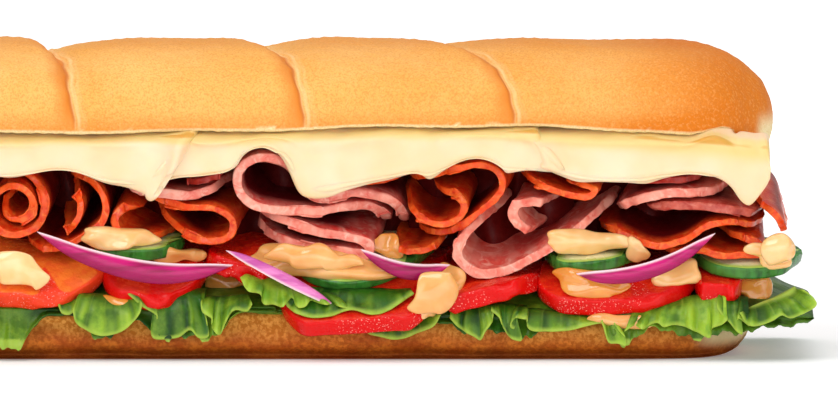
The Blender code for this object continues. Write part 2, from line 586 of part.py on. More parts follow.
def bread_crown():
    """The upper half of the roll: a long dome with diagonal slashes; its cut face is hollow."""
    angles = [math.radians(a) for a in (-24, -8, 8, 24, 42, 60, 76, 90, 104, 120, 138, 156, 172, 188, 204)]
    half_width = ROLL_WIDTH / 2
    lift = math.sin(math.radians(24))
    rings = []
    for ridge_x, run in crown_lines():
        ring = []
        for angle in angles:
            across, rise = math.cos(angle), math.sin(angle)
            x = ridge_x + run * across
            x = max(-ROLL_LENGTH / 2 + 0.1, min(ROLL_LENGTH / 2 - 0.1, x))
            scale = end_scale(x, ROLL_LENGTH / 2, END_ROUNDING)
            drop = smooth_step(138.2, 143.0, x)
            cut = along_table(CROWN_EDGE, x) * (1 - drop) + CROWN_END_DROP * drop
            height = TOTAL_HEIGHT - cut
            dip = sum(slash_dip(ridge_x - place, depth) for place, _, depth in SLASHES)
            dip *= smooth_step(-0.25, 0.35, rise)
            y = -(half_width - 0.9 * dip * abs(across)) * scale * math.copysign(abs(across) ** 0.8, across)
            swell = (height * 0.65 - dip) * rise if rise > 0 else 0.35 * height * rise / lift
            z = cut + 0.35 * height + swell
            nose = cut + 5.0 + 13.0 * drop
            edge = mound(y) * (1 - drop) if angle in (angles[0], angles[-1]) else 0.0
            ring.append((x, y, nose + (z - nose) * scale + edge))
        (x0, y0, z0), (x1, _, z1) = ring[0], ring[-1]
        drop = smooth_step(138.2, 143.0, ridge_x)
        rise = (mound(0) - mound(y0)) * (1 - drop)
        ring.append(((x0 + x1) / 2, 0.0, (z0 + z1) / 2 + rise))
        rings.append(ring)
    return loft("bread_crown", rings, "crust")


def bread_heel():
    """The lower half of the roll: a shallow base with round sides, flat below and mounded above."""
    half_length = HEEL_LENGTH / 2
    half_width = ROLL_WIDTH / 2 - 0.8
    profile = ((0.78, 0.0), (0.90, 0.06), (0.965, 0.24), (0.995, 0.52), (0.975, 0.80), (0.90, 1.0))
    places = [-half_length + END_ROUNDING * s for s in (0.002, 0.03, 0.09, 0.2, 0.38, 0.65)]
    inner = half_length - END_ROUNDING
    places += [-inner + 2 * inner * k / 14 for k in range(15)]
    places += [half_length - END_ROUNDING * s for s in (0.65, 0.38, 0.2, 0.09, 0.03, 0.002)]
    rings = []
    for x in places:
        scale = end_scale(x, half_length, END_ROUNDING)
        lift = 1 - smooth_step(0.0, 0.85, scale)
        front = []
        for share, level in profile:
            y = -half_width * share * scale
            rise = mound(y) if level == 1.0 else 0.0
            front.append((x, y, (HEEL_HEIGHT * level + rise) * (1 - lift) + 0.62 * HEEL_HEIGHT * lift))
        middle = (x, 0.0, (HEEL_HEIGHT + MOUND) * (1 - lift) + 0.64 * HEEL_HEIGHT * lift)
        rings.append(front + [middle] + [(x, -y, z) for _, y, z in reversed(front)])
    return loft("bread_heel", rings, "crust")


def mirrored(points):
    return [(REPEAT_SHIFT - x, z) for x, z in points]


def main():
    clear_scene()
    bread_crown()
    bread_heel()
    for name, values in CHEESES.items():
        cheese_slice(name, *values)
    for folds, slot, thickness in (
        (PEPPERONI_FOLDS, "pepperoni", PEPPERONI_THICKNESS),
        (SALAMI_FOLDS, "salami", SALAMI_THICKNESS),
    ):
        for name, (closing_x, closing_z, centre, points) in folds.items():
            folded_slice(name, (closing_x, closing_z), centre, points, thickness, slot)
            if name in REPEATED_AT_LEFT:
                centre, *points = mirrored([centre, *points])
                folded_slice(name + "_left", (closing_x, closing_z), centre, points, thickness, slot)
    for name, (closing_x, closing_z, roll) in ROLLS.items():
        closing, line = (closing_x, closing_z), spiral(*roll)
        folded_slice(name, closing, roll[:2], line, PEPPERONI_THICKNESS, "pepperoni", segment=3.2)
    for name, values in TOMATOES.items():
        tomato_slice(name, *values)
    for name, values in CUCUMBERS.items():
        cucumber_slice(name, *values)
    for name, values in ONIONS.items():
        onion_petal(name, *values)
    for name, values in SAUCES.items():
        sauce_blob(name, *values)
    for name, values in LEAVES.items():
        lettuce_leaf(name, *values)


main()
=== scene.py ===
"""The looks of a long filled roll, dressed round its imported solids: crust, cheese, meats, salad and sauce.

Sizes below are millimetres. X runs along the roll, -Y is the front that shows, Z is up.
"""
import math
import random

import bmesh
import bpy
import numpy as np
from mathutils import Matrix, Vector, bvhtree, kdtree


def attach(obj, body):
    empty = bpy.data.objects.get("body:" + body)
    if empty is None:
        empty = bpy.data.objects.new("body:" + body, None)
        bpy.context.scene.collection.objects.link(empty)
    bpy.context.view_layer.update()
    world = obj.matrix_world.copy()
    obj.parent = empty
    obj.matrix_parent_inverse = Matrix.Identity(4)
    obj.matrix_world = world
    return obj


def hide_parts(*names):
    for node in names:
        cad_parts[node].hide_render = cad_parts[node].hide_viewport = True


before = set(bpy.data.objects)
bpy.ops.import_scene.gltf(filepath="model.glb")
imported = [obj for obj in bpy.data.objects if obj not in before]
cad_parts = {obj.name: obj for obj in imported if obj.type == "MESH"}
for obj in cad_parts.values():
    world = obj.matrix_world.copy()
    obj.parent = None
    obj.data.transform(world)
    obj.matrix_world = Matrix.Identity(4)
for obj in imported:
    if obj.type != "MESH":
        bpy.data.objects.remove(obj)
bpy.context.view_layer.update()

MM = 0.001
WELD = 1e-6
CUT_SLACK = 1e-4
FRONT, BACK = -1, 1

# The photograph's frame and what it shows
FRAME_WIDTH_PX = 838
MM_PER_PX = 0.265
CAMERA_ELEVATION = 3.5
CAMERA_LENS = 500.0
CAMERA_SENSOR = 36.0
CAMERA_REACH = 30.0
VIEW_CENTRE = (54.8, -25.0, 41.7)

# Slices, by the thickness of their solids, and how much thinner they get towards their cut rim
THICKNESS = {"pepperoni": 2.1, "salami": 2.6, "tomato": 4.8, "cucumber": 2.9}
THINNING = {"pepperoni": 0.3, "salami": 0.25}
RIM_ANGLE = math.radians(48)
RIM_SHARE = 1.35
# A subdivision surface shrinks a shape: its points are moved out this many times until it fits again
CLOSING_ROUNDS = 4
# Extra cuts that keep long faces from bulging: across the folded slices in y, across the heel in x
MEAT_CUTS = (-33.0, -24.0, -12.0, 12.0, 26.0)
HEEL_CUTS = range(-96, 97, 12)
# How sharp the edges of a slice stay, and how often its faces are split in two
SHARPNESS = {"pepperoni": 0.55, "salami": 0.5, "tomato": 0.78, "cucumber": 0.7, "onion": 0.6}
LEVELS = {"pepperoni": 2, "salami": 2, "tomato": 3, "cucumber": 3, "cheese": 3, "lettuce": 3, "onion": 3,
          "sauce": 3, "bread": 3}

# Slashes of the crown, as its solid has them: (place on the ridge, run towards the front edge)
SLASHES = ((-98.0, 9.0), (-43.7, 8.0), (13.8, 11.0), (61.5, 19.0))
SOLID_SHIFT = (-0.63, 1.75)
ROLL_HALF_WIDTH = 38.0
CROWN_LOW = 59.5
MOUND = 8.0
# Underside of the crown along its front edge: x and z
CROWN_EDGE_X = (-150.0, -62.0, -10.0, 50.0, 77.0, 110.0, 150.0)
CROWN_EDGE_Z = (59.4, 59.4, 59.6, 61.2, 61.2, 60.0, 56.8)
# Right end of the crown, left rounder than its solid: between these places in x and z, by this share
CROWN_END_X = (126.0, 134.0)
CROWN_END_Z = (60.0, 68.0)
CROWN_END_EASE = 0.4
# How closely the melted slices follow their solids
CHEESE_HOLD = 0.6
# Seams between the cheese slices: (place in x at the seams' height, lean over a height of 10)
SEAM_HEIGHT = 54.0
CHEESE_SEAMS = {"cheese_1": (-8.0, 6.4), "cheese_2": (90.0, -6.4)}
SEAM_SKEW = 5.0
# Lap of a slice over the next one, and how far it stands off it
SEAM_LAP = 3.2
SEAM_LIFT = 0.75
# The last slice rises to meet the crown: between these places in x and z, by this height
CHEESE_END_X = (124.0, 134.0)
CHEESE_END_Z = (51.0, 57.0)
CHEESE_END_LIFT = 2.8

# Loose leaf edges along the front: points of the hem in x and z, the two ends of the root, place of the
# hem in y, brightness at both ends, ruffle, and whether it hangs over the bread, lies over everything or
# hangs with a pale rib near its root
# The brightness at both ends is partly the leaf's own tone and partly painted shade
FRONT_LEAVES = (
    (((-40.4, 14.8), (-39.4, 12.7), (-37.4, 12.4), (-35.3, 14.8)),
     ((-40.4, 16.2), (-35.0, 16.5)), -40.6, (0.15, 0.25), 0.5, "hangs"),
    (((-36.6, 13.5), (-35.5, 10.2), (-32.8, 8.1), (-28.7, 6.7), (-25.0, 7.5), (-21.5, 9.5),
      (-19.0, 12.7), (-18.2, 15.6)),
     ((-34.4, 17.8), (-19.6, 16.8)), -42.2, (0.5, 0.62), 0.5, "hangs"),
    (((-22.0, 17.8), (-18.4, 14.6), (-14.1, 11.3), (-16.0, 8.9), (-15.5, 6.4), (-12.7, 5.7),
      (-8.6, 6.1), (-5.1, 8.1), (-3.6, 6.2), (-0.6, 6.4), (-1.0, 9.3), (-1.9, 13.0)),
     ((-20.9, 19.3), (-1.4, 18.7)), -41.0, (0.0, 0.25), 0.8, "hangs"),
    (((-2.8, 15.2), (-2.6, 13.4), (-0.1, 11.5), (0.2, 8.6), (2.1, 7.1), (3.7, 10.2), (6.5, 13.5),
      (9.3, 13.2), (10.7, 15.2)),
     ((-1.9, 16.8), (10.0, 17.3)), -42.2, (0.35, 0.5), 1.0, "hangs"),
    (((7.6, 22.2), (10.0, 18.7), (13.0, 17.8), (13.6, 15.2), (16.6, 15.1), (18.7, 14.5), (21.3, 16.9),
      (22.9, 14.2), (24.4, 14.2), (26.3, 16.2), (29.2, 15.4), (32.0, 15.1), (37.7, 13.5)),
     ((9.3, 22.9), (30.7, 17.8)), -43.0, (0.95, 0.35), 2.2, "lies"),
    (((18.6, 18.0), (20.6, 13.8), (25.7, 11.9), (32.0, 12.3), (36.8, 13.6), (40.8, 12.6), (47.4, 14.0),
      (53.6, 18.0)),
     ((19.4, 19.2), (52.6, 18.8)), -42.4, (0.0, 0.12), 0.9, "lies"),
    (((39.6, 10.8), (41.6, 7.2), (44.3, 6.2), (48.7, 5.7), (53.4, 7.0), (58.4, 9.2), (60.6, 12.4)),
     ((40.8, 11.3), (58.4, 12.2)), -40.6, (0.2, 0.35), 0.4, "hangs"),
    (((62.8, 11.7), (65.7, 8.6), (69.2, 6.5), (71.0, 5.5), (72.2, 7.5), (74.1, 10.7), (74.6, 13.0)),
     ((63.8, 14.9), (74.3, 15.5)), -40.8, (0.1, 0.35), 0.9, "hangs"),
    (((73.8, 13.4), (76.1, 11.2), (77.0, 9.4), (79.8, 5.5), (81.6, 5.4), (81.1, 7.3), (79.0, 9.4),
      (80.0, 11.2), (83.2, 11.0)),
     ((74.1, 15.5), (83.5, 14.3)), -41.4, (0.1, 0.3), 0.8, "hangs"),
    (((83.2, 11.5), (83.5, 8.6), (88.7, 8.0), (93.8, 8.1), (99.0, 9.2), (103.2, 9.9)),
     ((82.5, 13.8), (102.2, 11.7)), -40.8, (0.35, 0.5), 0.4, "hangs"),
    (((103.0, 10.8), (104.0, 7.6), (105.3, 4.6), (107.4, 4.4), (109.2, 3.9), (109.2, 5.9),
      (107.5, 8.0), (106.2, 10.1)),
     ((103.3, 11.2), (106.0, 11.2)), -41.4, (0.6, 0.7), 0.4, "hangs"),
    (((108.6, 7.9), (111.8, 9.5), (113.9, 8.6), (115.8, 9.8), (117.7, 10.3), (119.2, 8.9),
      (121.5, 9.5), (124.8, 9.3), (128.1, 7.7), (131.8, 6.4), (132.4, 8.6), (134.2, 9.4),
      (136.2, 11.2)),
     ((112.6, 13.6), (135.5, 18.5)), -41.8, (0.45, 0.95), 1.5, "hangs"),
    (((133.4, 14.3), (134.7, 12.4), (136.2, 10.6), (138.4, 8.0), (140.0, 7.4), (139.2, 9.4),
      (138.7, 11.2), (142.0, 9.5)),
     ((133.9, 17.8), (141.6, 16.5)), -42.4, (0.3, 0.05), 0.8, "hangs"),
    (((139.2, 13.0), (141.0, 10.2), (144.2, 9.6), (148.1, 10.7), (150.7, 12.3), (152.6, 11.5),
      (155.9, 12.6), (158.6, 13.9), (159.7, 15.4), (158.6, 17.5), (156.4, 19.0)),
     ((140.7, 13.2), (154.0, 19.2)), -43.6, (0.15, 0.75), 1.0, "rolls"),
)
# Leaf edges where the photograph doesn't reach: from x, to x, step
LEFT_LEAVES = (-148.0, -58.0, 13.0)
BACK_LEAVES = (-146.0, 150.0, 15.0)
LEAF_ROOT_Y = -34.5
LEAF_THICKNESS = 0.45
LEAF_CLEARANCE = 0.7
FOLD_LENGTHS = (6.5, 2.9)
VEIN_SPACING = 5.2
# How finely a leaf edge is divided along its hem and from its root to its hem
LEAF_GRID = (60, 13)
HIDDEN_LEAF_GRID = (40, 10)
# Families of solids that sauce and the leaf edges that lie over everything rest on, and the other edges
CARRIERS = ("bread", "cheese", "cucumber", "lettuce", "pepperoni", "salami", "tomato")
LOW_CARRIERS = ("bread", "lettuce")

# Dollops of sauce on the front: centre x and z, half sizes in x and z, thickness, slope, how orange
DOLLOPS = (
    (-25.0, 32.4, 10.0, 3.0, 2.4, -0.10, 0.15),
    (-9.4, 27.4, 7.4, 2.2, 2.0, -0.05, 0.55),
    (-25.2, 14.2, 5.6, 2.6, 1.4, 0.00, 0.95),
    (3.1, 20.0, 5.6, 2.6, 1.8, -0.15, 0.85),
    (27.5, 25.6, 17.0, 4.6, 2.6, -0.12, 0.55),
    (46.6, 30.0, 3.6, 3.8, 0.8, -0.30, 0.80),
    (56.6, 14.2, 2.8, 3.2, 1.6, 0.00, 0.25),
    (63.2, 20.6, 4.4, 4.6, 1.4, -0.35, 0.60),
    (99.0, 31.2, 13.0, 3.0, 2.2, 0.00, 0.20),
    (112.4, 29.0, 2.8, 3.8, 2.0, -0.20, 0.25),
    (99.8, 20.4, 9.4, 4.0, 1.8, -0.22, 0.90),
    (123.4, 22.6, 5.7, 3.8, 3.0, 0.10, 0.25),
    (143.6, 18.4, 4.7, 3.6, 2.8, -0.10, 0.85),
    (147.4, 27.6, 5.8, 3.2, 1.4, -0.25, 0.15),
    (108.0, 10.6, 8.2, 1.9, 1.2, -0.05, 0.55),
)
# A dollop follows what lies under it, smoothed over this length, and bridges gaps of this width
DOLLOP_SMOOTHING = 1.4
DOLLOP_BRIDGE = 2.2
# How far before and behind its usual depth a dollop may lie
DOLLOP_RANGE = (2.5, 6.0)

# Dark slices tucked in between the folds, painted shade where the gaps would show through: from x, to x,
# place in y
TUCKED = ((-136.0, -92.0, -9.0), (-100.0, -48.0, -13.0), (-56.0, -14.0, -8.0), (-24.0, 22.0, -12.0),
          (14.0, 60.0, -7.0), (52.0, 96.0, -13.0), (88.0, 136.0, -9.0))
TUCKED_GRID = (30, 14)
TUCKED_LOW, TUCKED_HEIGHT = 25.0, 30.0
TUCKED_THICKNESS = 1.8

# The studio, in metres: each light's name, place, size and power, the point they aim at, and the floor,
# which glows from one strength near the roll to another far away
LIGHTS = (
    ("key", (-0.35, -0.75, 0.75), (0.5, 0.5), 3.6),
    ("top", (0.1, 0.05, 0.95), (1.4, 1.0), 5.6),
    ("front", (0.05, -1.1, 0.12), (1.4, 0.5), 4.5),
    ("fill", (0.8, -0.7, 0.3), (0.5, 0.5), 1.2),
)
LIGHT_AIM = (0.05, 0.0, 0.04)
SKY_STRENGTH = 0.42
FLOOR_SIZE = 12.0
FLOOR_COLOUR = (0.96, 0.96, 0.96, 1.0)
FLOOR_GLOW_AT = (0.22, 1.1)
FLOOR_GLOW = (0.16, 0.72)
WHITE = (1.0, 1.0, 1.0, 1.0)

# Sockets of a colour mix: its factor, its two colours and its result
MIX_FACTOR, MIX_FIRST, MIX_SECOND, MIX_RESULT = 0, 6, 7, 2


def rgb(code):
    """The linear colour of a screen colour such as F2B368."""
    shares = [int(code[i:i + 2], 16) / 255 for i in (0, 2, 4)]
    return tuple(((c + 0.055) / 1.055) ** 2.4 if c > 0.04045 else c / 12.92 for c in shares) + (1.0,)


# Node trees

def put(tree, kind, values=None, **settings):
    """Adds a node, sets it up, and sets or wires its inputs."""
    node = tree.nodes.new(kind)
    for key, value in settings.items():
        setattr(node, key, value)
    for key, value in (values or {}).items():
        if isinstance(value, bpy.types.NodeSocket):
            tree.links.new(value, node.inputs[key])
        else:
            node.inputs[key].default_value = value
    return node


def ramp(tree, value, start, end, low=0.0, high=1.0):
    """A value eased from low to high while the given one goes from start to end."""
    limits = {"Value": value, "From Min": start, "From Max": end, "To Min": low, "To Max": high}
    return put(tree, "ShaderNodeMapRange", limits, interpolation_type="SMOOTHSTEP").outputs["Result"]


def blend(tree, mask, first, second):
    """The first colour where the mask is 0, the second where it is 1."""
    values = {MIX_FACTOR: mask, MIX_FIRST: first, MIX_SECOND: second}
    return put(tree, "ShaderNodeMix", values, data_type="RGBA").outputs[MIX_RESULT]


def math_of(tree, kind, first, second):
    """The sum, product or other result of two values."""
    return put(tree, "ShaderNodeMath", {0: first, 1: second}, operation=kind).outputs[0]


def times(tree, first, second):
    return math_of(tree, "MULTIPLY", first, second)


def effect(name, inputs, output, output_kind, fill):
    """A shader node group with named inputs, whose one output the given function works out."""
    tree = bpy.data.node_groups.new(name, "ShaderNodeTree")
    for key, (kind, value) in inputs.items():
        socket = tree.interface.new_socket(key, in_out="INPUT", socket_type=kind)
        if value is not None:
            socket.default_value = value
    tree.interface.new_socket(output, in_out="OUTPUT", socket_type=output_kind)
    entry = tree.nodes.new("NodeGroupInput")
    leave = tree.nodes.new("NodeGroupOutput")
    tree.links.new(fill(tree, entry.outputs), leave.inputs[output])
    return tree


def fill_patches(tree, given):
    """Soft-edged patches."""
    spots = put(tree, "ShaderNodeTexNoise", {"Vector": given["Place"], "Scale": given["Scale"],
                                             "Detail": given["Detail"], "Roughness": 0.6,
                                             "Distortion": given["Swirl"]})
    high = math_of(tree, "ADD", given["Level"], given["Softness"])
    low = math_of(tree, "SUBTRACT", given["Level"], given["Softness"])
    return ramp(tree, spots.outputs["Fac"], low, high)


def fill_flecks(tree, given):
    """Small flecks, each bent out of round."""
    bent = put(tree, "ShaderNodeTexNoise", {"Vector": given["Place"], "Scale": given["Scale"],
                                            "Detail": 2.0})
    away = put(tree, "ShaderNodeVectorMath", {0: bent.outputs["Color"], 1: given["Bend"]},
               operation="MULTIPLY")
    place = put(tree, "ShaderNodeVectorMath", {0: given["Place"], 1: away.outputs["Vector"]},
                operation="ADD")
    cells = put(tree, "ShaderNodeTexVoronoi", {"Vector": place.outputs["Vector"], "Scale": given["Scale"]})
    return ramp(tree, cells.outputs["Distance"], given["Size"], 0.0)


def fill_streaks(tree, given):
    """Lines, where the place is stretched more one way than the other."""
    stretched = put(tree, "ShaderNodeVectorMath", {0: given["Place"], 1: given["Stretch"]},
                    operation="MULTIPLY")
    lines = put(tree, "ShaderNodeTexNoise", {"Vector": stretched.outputs["Vector"], "Scale": given["Scale"],
                                             "Detail": 3.0, "Roughness": 0.55})
    return ramp(tree, lines.outputs["Fac"], 0.35, 0.65)


def fill_relief(tree, given):
    """A finely uneven surface."""
    coarse = put(tree, "ShaderNodeTexNoise", {"Vector": given["Place"], "Scale": given["Scale"],
                                              "Detail": 5.0, "Roughness": 0.62})
    bump = put(tree, "ShaderNodeBump", {"Strength": given["Strength"], "Distance": given["Depth"],
                                        "Height": coarse.outputs["Fac"]})
    return bump.outputs["Normal"]


VECTOR, NUMBER = "NodeSocketVector", "NodeSocketFloat"
PATCHES = effect("patches", {
    "Place": (VECTOR, None), "Scale": (NUMBER, 100.0), "Detail": (NUMBER, 3.0), "Swirl": (NUMBER, 0.0),
    "Level": (NUMBER, 0.5), "Softness": (NUMBER, 0.15)}, "Mask", NUMBER, fill_patches)
FLECKS = effect("flecks", {
    "Place": (VECTOR, None), "Scale": (NUMBER, 400.0), "Bend": (VECTOR, (0.001, 0.001, 0.001)),
    "Size": (NUMBER, 0.4)}, "Mask", NUMBER, fill_flecks)
STREAKS = effect("streaks", {
    "Place": (VECTOR, None), "Scale": (NUMBER, 300.0), "Stretch": (VECTOR, (1.0, 1.0, 1.0))},
    "Mask", NUMBER, fill_streaks)
RELIEF = effect("relief", {
    "Place": (VECTOR, None), "Scale": (NUMBER, 600.0), "Strength": (NUMBER, 0.3),
    "Depth": (NUMBER, 0.0003)}, "Normal", VECTOR, fill_relief)


def use(tree, group, place, **values):
    """What a shared effect puts out at a place, with these inputs."""
    return put(tree, "ShaderNodeGroup", {"Place": place, **values}, node_tree=group).outputs[0]


def measure(tree, name):
    """A number painted on the mesh."""
    return put(tree, "ShaderNodeAttribute", attribute_name=name).outputs["Fac"]


def finish_of(name, build, **constants):
    """A material whose function returns its colour, roughness and normal; the rest is the same all over."""
    made = bpy.data.materials.new(name)
    made.use_nodes = True
    tree = made.node_tree
    shader = tree.nodes["Principled BSDF"]
    place = put(tree, "ShaderNodeTexCoord").outputs["Object"]
    colour, roughness, normal = build(tree, place)
    tree.links.new(colour, shader.inputs["Base Color"])
    tree.links.new(roughness, shader.inputs["Roughness"])
    tree.links.new(normal, shader.inputs["Normal"])
    for key, value in constants.items():
        shader.inputs[key.replace("_", " ")].default_value = value
    return made


def crown_finish(tree, place):
    """Golden speckled crust, darker and browner where painted, with torn pale lines on one side of each
    slash and painted shade in its crease.
    """
    mottle = use(tree, PATCHES, place, Scale=42.0, Detail=4.0, Softness=0.25)
    dark_specks = use(tree, PATCHES, place, Scale=1900.0, Detail=3.0, Level=0.53, Softness=0.1)
    light_specks = use(tree, PATCHES, place, Scale=1300.0, Detail=3.0, Level=0.58, Softness=0.1)
    top = blend(tree, mottle, rgb("F7BA66"), rgb("EFAA50"))
    top = blend(tree, measure(tree, "darker_crust"), top, rgb("D87614"))
    top = blend(tree, times(tree, dark_specks, 0.4), top, rgb("C86E20"))
    top = blend(tree, times(tree, light_specks, 0.22), top, rgb("F8C27C"))
    offset, strength = measure(tree, "slash_offset"), measure(tree, "slash")
    lip = times(tree, ramp(tree, offset, -7.0, -0.3), ramp(tree, offset, 0.5, -0.2))
    top = blend(tree, times(tree, lip, strength), top, rgb("DE8430"))
    along = put(tree, "ShaderNodeCombineXYZ", {"X": offset, "Y": measure(tree, "across")})
    lines = use(tree, STREAKS, along.outputs["Vector"], Scale=1.0, Stretch=(1.1, 3.0, 1.0))
    zone = times(tree, ramp(tree, offset, -0.4, 0.5), ramp(tree, offset, 4.2, 0.7))
    lines = math_of(tree, "ADD", times(tree, lines, 0.5), 0.06)
    pale = times(tree, times(tree, lines, zone), strength)
    top = blend(tree, pale, top, rgb("FAD8A0"))
    # Painted shade in the crease of each slash
    top = blend(tree, times(tree, measure(tree, "crease"), 0.8), top, rgb("C06A26"))
    crumb = blend(tree, times(tree, dark_specks, 0.5), rgb("F2DFAE"), rgb("DDB868"))
    colour = blend(tree, measure(tree, "unbrowned"), top, crumb)
    roughness = ramp(tree, mottle, 0.0, 1.0, 0.5, 0.62)
    return colour, roughness, use(tree, RELIEF, place, Scale=1100.0, Strength=0.35)


def heel_finish(tree, place):
    """Brown blotchy crust, golden higher up, and dark round its foot with painted shade."""
    mottle = use(tree, PATCHES, place, Scale=150.0, Detail=7.0, Softness=0.13)
    grain = use(tree, PATCHES, place, Scale=900.0, Detail=5.0, Softness=0.1)
    base = blend(tree, mottle, rgb("CE7220"), rgb("AC4E0C"))
    base = blend(tree, times(tree, grain, 0.6), base, rgb("8C3C08"))
    gold = blend(tree, grain, rgb("E6A044"), rgb("C27420"))
    high = blend(tree, measure(tree, "upper"), base, gold)
    # Painted shade round the foot, where the crust meets the floor
    low = blend(tree, measure(tree, "darker_crust"), high, rgb("6E3006"))
    colour = blend(tree, measure(tree, "unbrowned"), low, rgb("F0DAA6"))
    roughness = ramp(tree, grain, 0.0, 1.0, 0.5, 0.7)
    return colour, roughness, use(tree, RELIEF, place, Scale=1100.0, Strength=0.6)


def cheese_finish(tree, place):
    """Pale cheese, with painted shade, golden and deeper, where it goes in under the crown."""
    cloud = use(tree, PATCHES, place, Scale=55.0, Detail=2.0, Softness=0.25)
    base = blend(tree, cloud, rgb("F6D9B6"), rgb("F0CE9E"))
    shade_under_crown = measure(tree, "shade_under_crown")
    # Painted shade under the crown: golden below its edge, deepest right under it
    base = blend(tree, ramp(tree, shade_under_crown, 0.0, 0.85), base, rgb("E9CA84"))
    colour = blend(tree, ramp(tree, shade_under_crown, 0.93, 1.0), base, rgb("D49E42"))
    roughness = ramp(tree, cloud, 0.0, 1.0, 0.34, 0.46)
    return colour, roughness, use(tree, RELIEF, place, Scale=90.0, Strength=0.06, Depth=0.001)


def meat_finish(wall, deep, fat, rim, rim_shade, fleck_scale, patch_level, fatness, dark_from=1.5,
                dark_at=11.0):
    """Cured meat: fat-flecked walls with painted shade that darkens them away from the cut rim, into the
    folds, and a paler marbled rim.
    """
    def build(tree, place):
        edge = measure(tree, "edge")
        flecks = use(tree, FLECKS, place, Scale=fleck_scale, Size=0.42)
        marble = use(tree, PATCHES, place, Scale=fleck_scale * 0.5, Detail=4.0, Swirl=1.4,
                     Level=patch_level, Softness=0.09)
        streaks = use(tree, STREAKS, place, Scale=fleck_scale * 0.9, Stretch=(1.0, 0.22, 1.0))
        fatty = math_of(tree, "MAXIMUM", times(tree, flecks, 0.6), marble)
        fatty = times(tree, math_of(tree, "MAXIMUM", fatty, times(tree, streaks, 0.55)), fatness)
        tone = use(tree, PATCHES, place, Scale=150.0, Detail=3.0, Softness=0.2)
        walls = blend(tree, times(tree, tone, 0.5), rgb(wall), rgb(rim_shade))
        walls = blend(tree, times(tree, fatty, 0.8), walls, rgb(fat))
        # Painted shade: the walls darken away from the rim, deep in the folds
        walls = blend(tree, ramp(tree, edge, dark_from, dark_at), walls, rgb(deep))
        rims = blend(tree, tone, rgb(rim), rgb(rim_shade))
        rims = blend(tree, fatty, rims, rgb(fat))
        colour = blend(tree, ramp(tree, edge, 0.1, 0.7), rims, walls)
        roughness = ramp(tree, tone, 0.0, 1.0, 0.3, 0.5)
        return colour, roughness, use(tree, RELIEF, place, Scale=650.0, Strength=0.45, Depth=0.0004)
    return build


def tomato_finish(skin, flesh, orange):
    """Shiny skin with patches of tiny painted highlights, round a pulpy face."""
    def build(tree, place):
        edge = measure(tree, "edge")
        tone = use(tree, PATCHES, place, Scale=90.0, Detail=2.0, Softness=0.25)
        pulp = use(tree, PATCHES, place, Scale=420.0, Detail=4.0, Softness=0.15)
        # Painted highlights: tiny pale glints, in patches, on the skin
        wet = use(tree, PATCHES, place, Scale=70.0, Detail=2.0, Level=0.52, Softness=0.05)
        glints = use(tree, FLECKS, place, Scale=1500.0, Size=0.4)
        glints = ramp(tree, times(tree, glints, wet), 0.25, 0.55)
        skins = blend(tree, times(tree, tone, 0.4), rgb(skin), rgb(flesh))
        skins = blend(tree, times(tree, glints, 0.6), skins, rgb("FFB8A8"))
        inside = blend(tree, pulp, rgb(flesh), rgb(orange))
        colour = blend(tree, ramp(tree, edge, 0.1, 0.8), skins, inside)
        roughness = ramp(tree, pulp, 0.0, 1.0, 0.12, 0.3)
        return colour, roughness, use(tree, RELIEF, place, Scale=650.0, Strength=0.5, Depth=0.0005)
    return build


def cucumber_finish(tree, place):
    """Striped peel, a green ring inside it, then pale flesh with seeds."""
    edge = measure(tree, "edge")
    stripes = use(tree, STREAKS, place, Scale=620.0, Stretch=(1.0, 1.0, 0.12))
    patches = use(tree, PATCHES, place, Scale=150.0, Detail=2.0, Softness=0.2)
    peel = blend(tree, stripes, rgb("124A16"), rgb("2E7A2A"))
    peel = blend(tree, times(tree, patches, 0.4), peel, rgb("62A03C"))
    seeds = use(tree, FLECKS, place, Scale=260.0, Size=0.35)
    flesh = blend(tree, ramp(tree, edge, 0.8, 3.4), rgb("A4CC58"), rgb("EEF0C0"))
    flesh = blend(tree, times(tree, seeds, 0.4), flesh, rgb("CBDA8A"))
    colour = blend(tree, ramp(tree, edge, 0.1, 0.45), peel, flesh)
    roughness = ramp(tree, patches, 0.0, 1.0, 0.2, 0.34)
    return colour, roughness, use(tree, RELIEF, place, Scale=600.0, Strength=0.25)


def onion_finish(skin_light, skin_dark):
    """Lined skin that deepens away from its pale cut side."""
    def build(tree, place):
        lines = use(tree, STREAKS, place, Scale=260.0, Stretch=(0.25, 1.0, 2.2))
        tone = blend(tree, lines, rgb(skin_light), rgb(skin_dark))
        shaded = blend(tree, times(tree, measure(tree, "low"), 0.8), tone, rgb(skin_dark))
        colour = blend(tree, measure(tree, "cut"), shaded, rgb("F3D6DC"))
        roughness = ramp(tree, lines, 0.0, 1.0, 0.2, 0.34)
        return colour, roughness, use(tree, RELIEF, place, Scale=500.0, Strength=0.2)
    return build


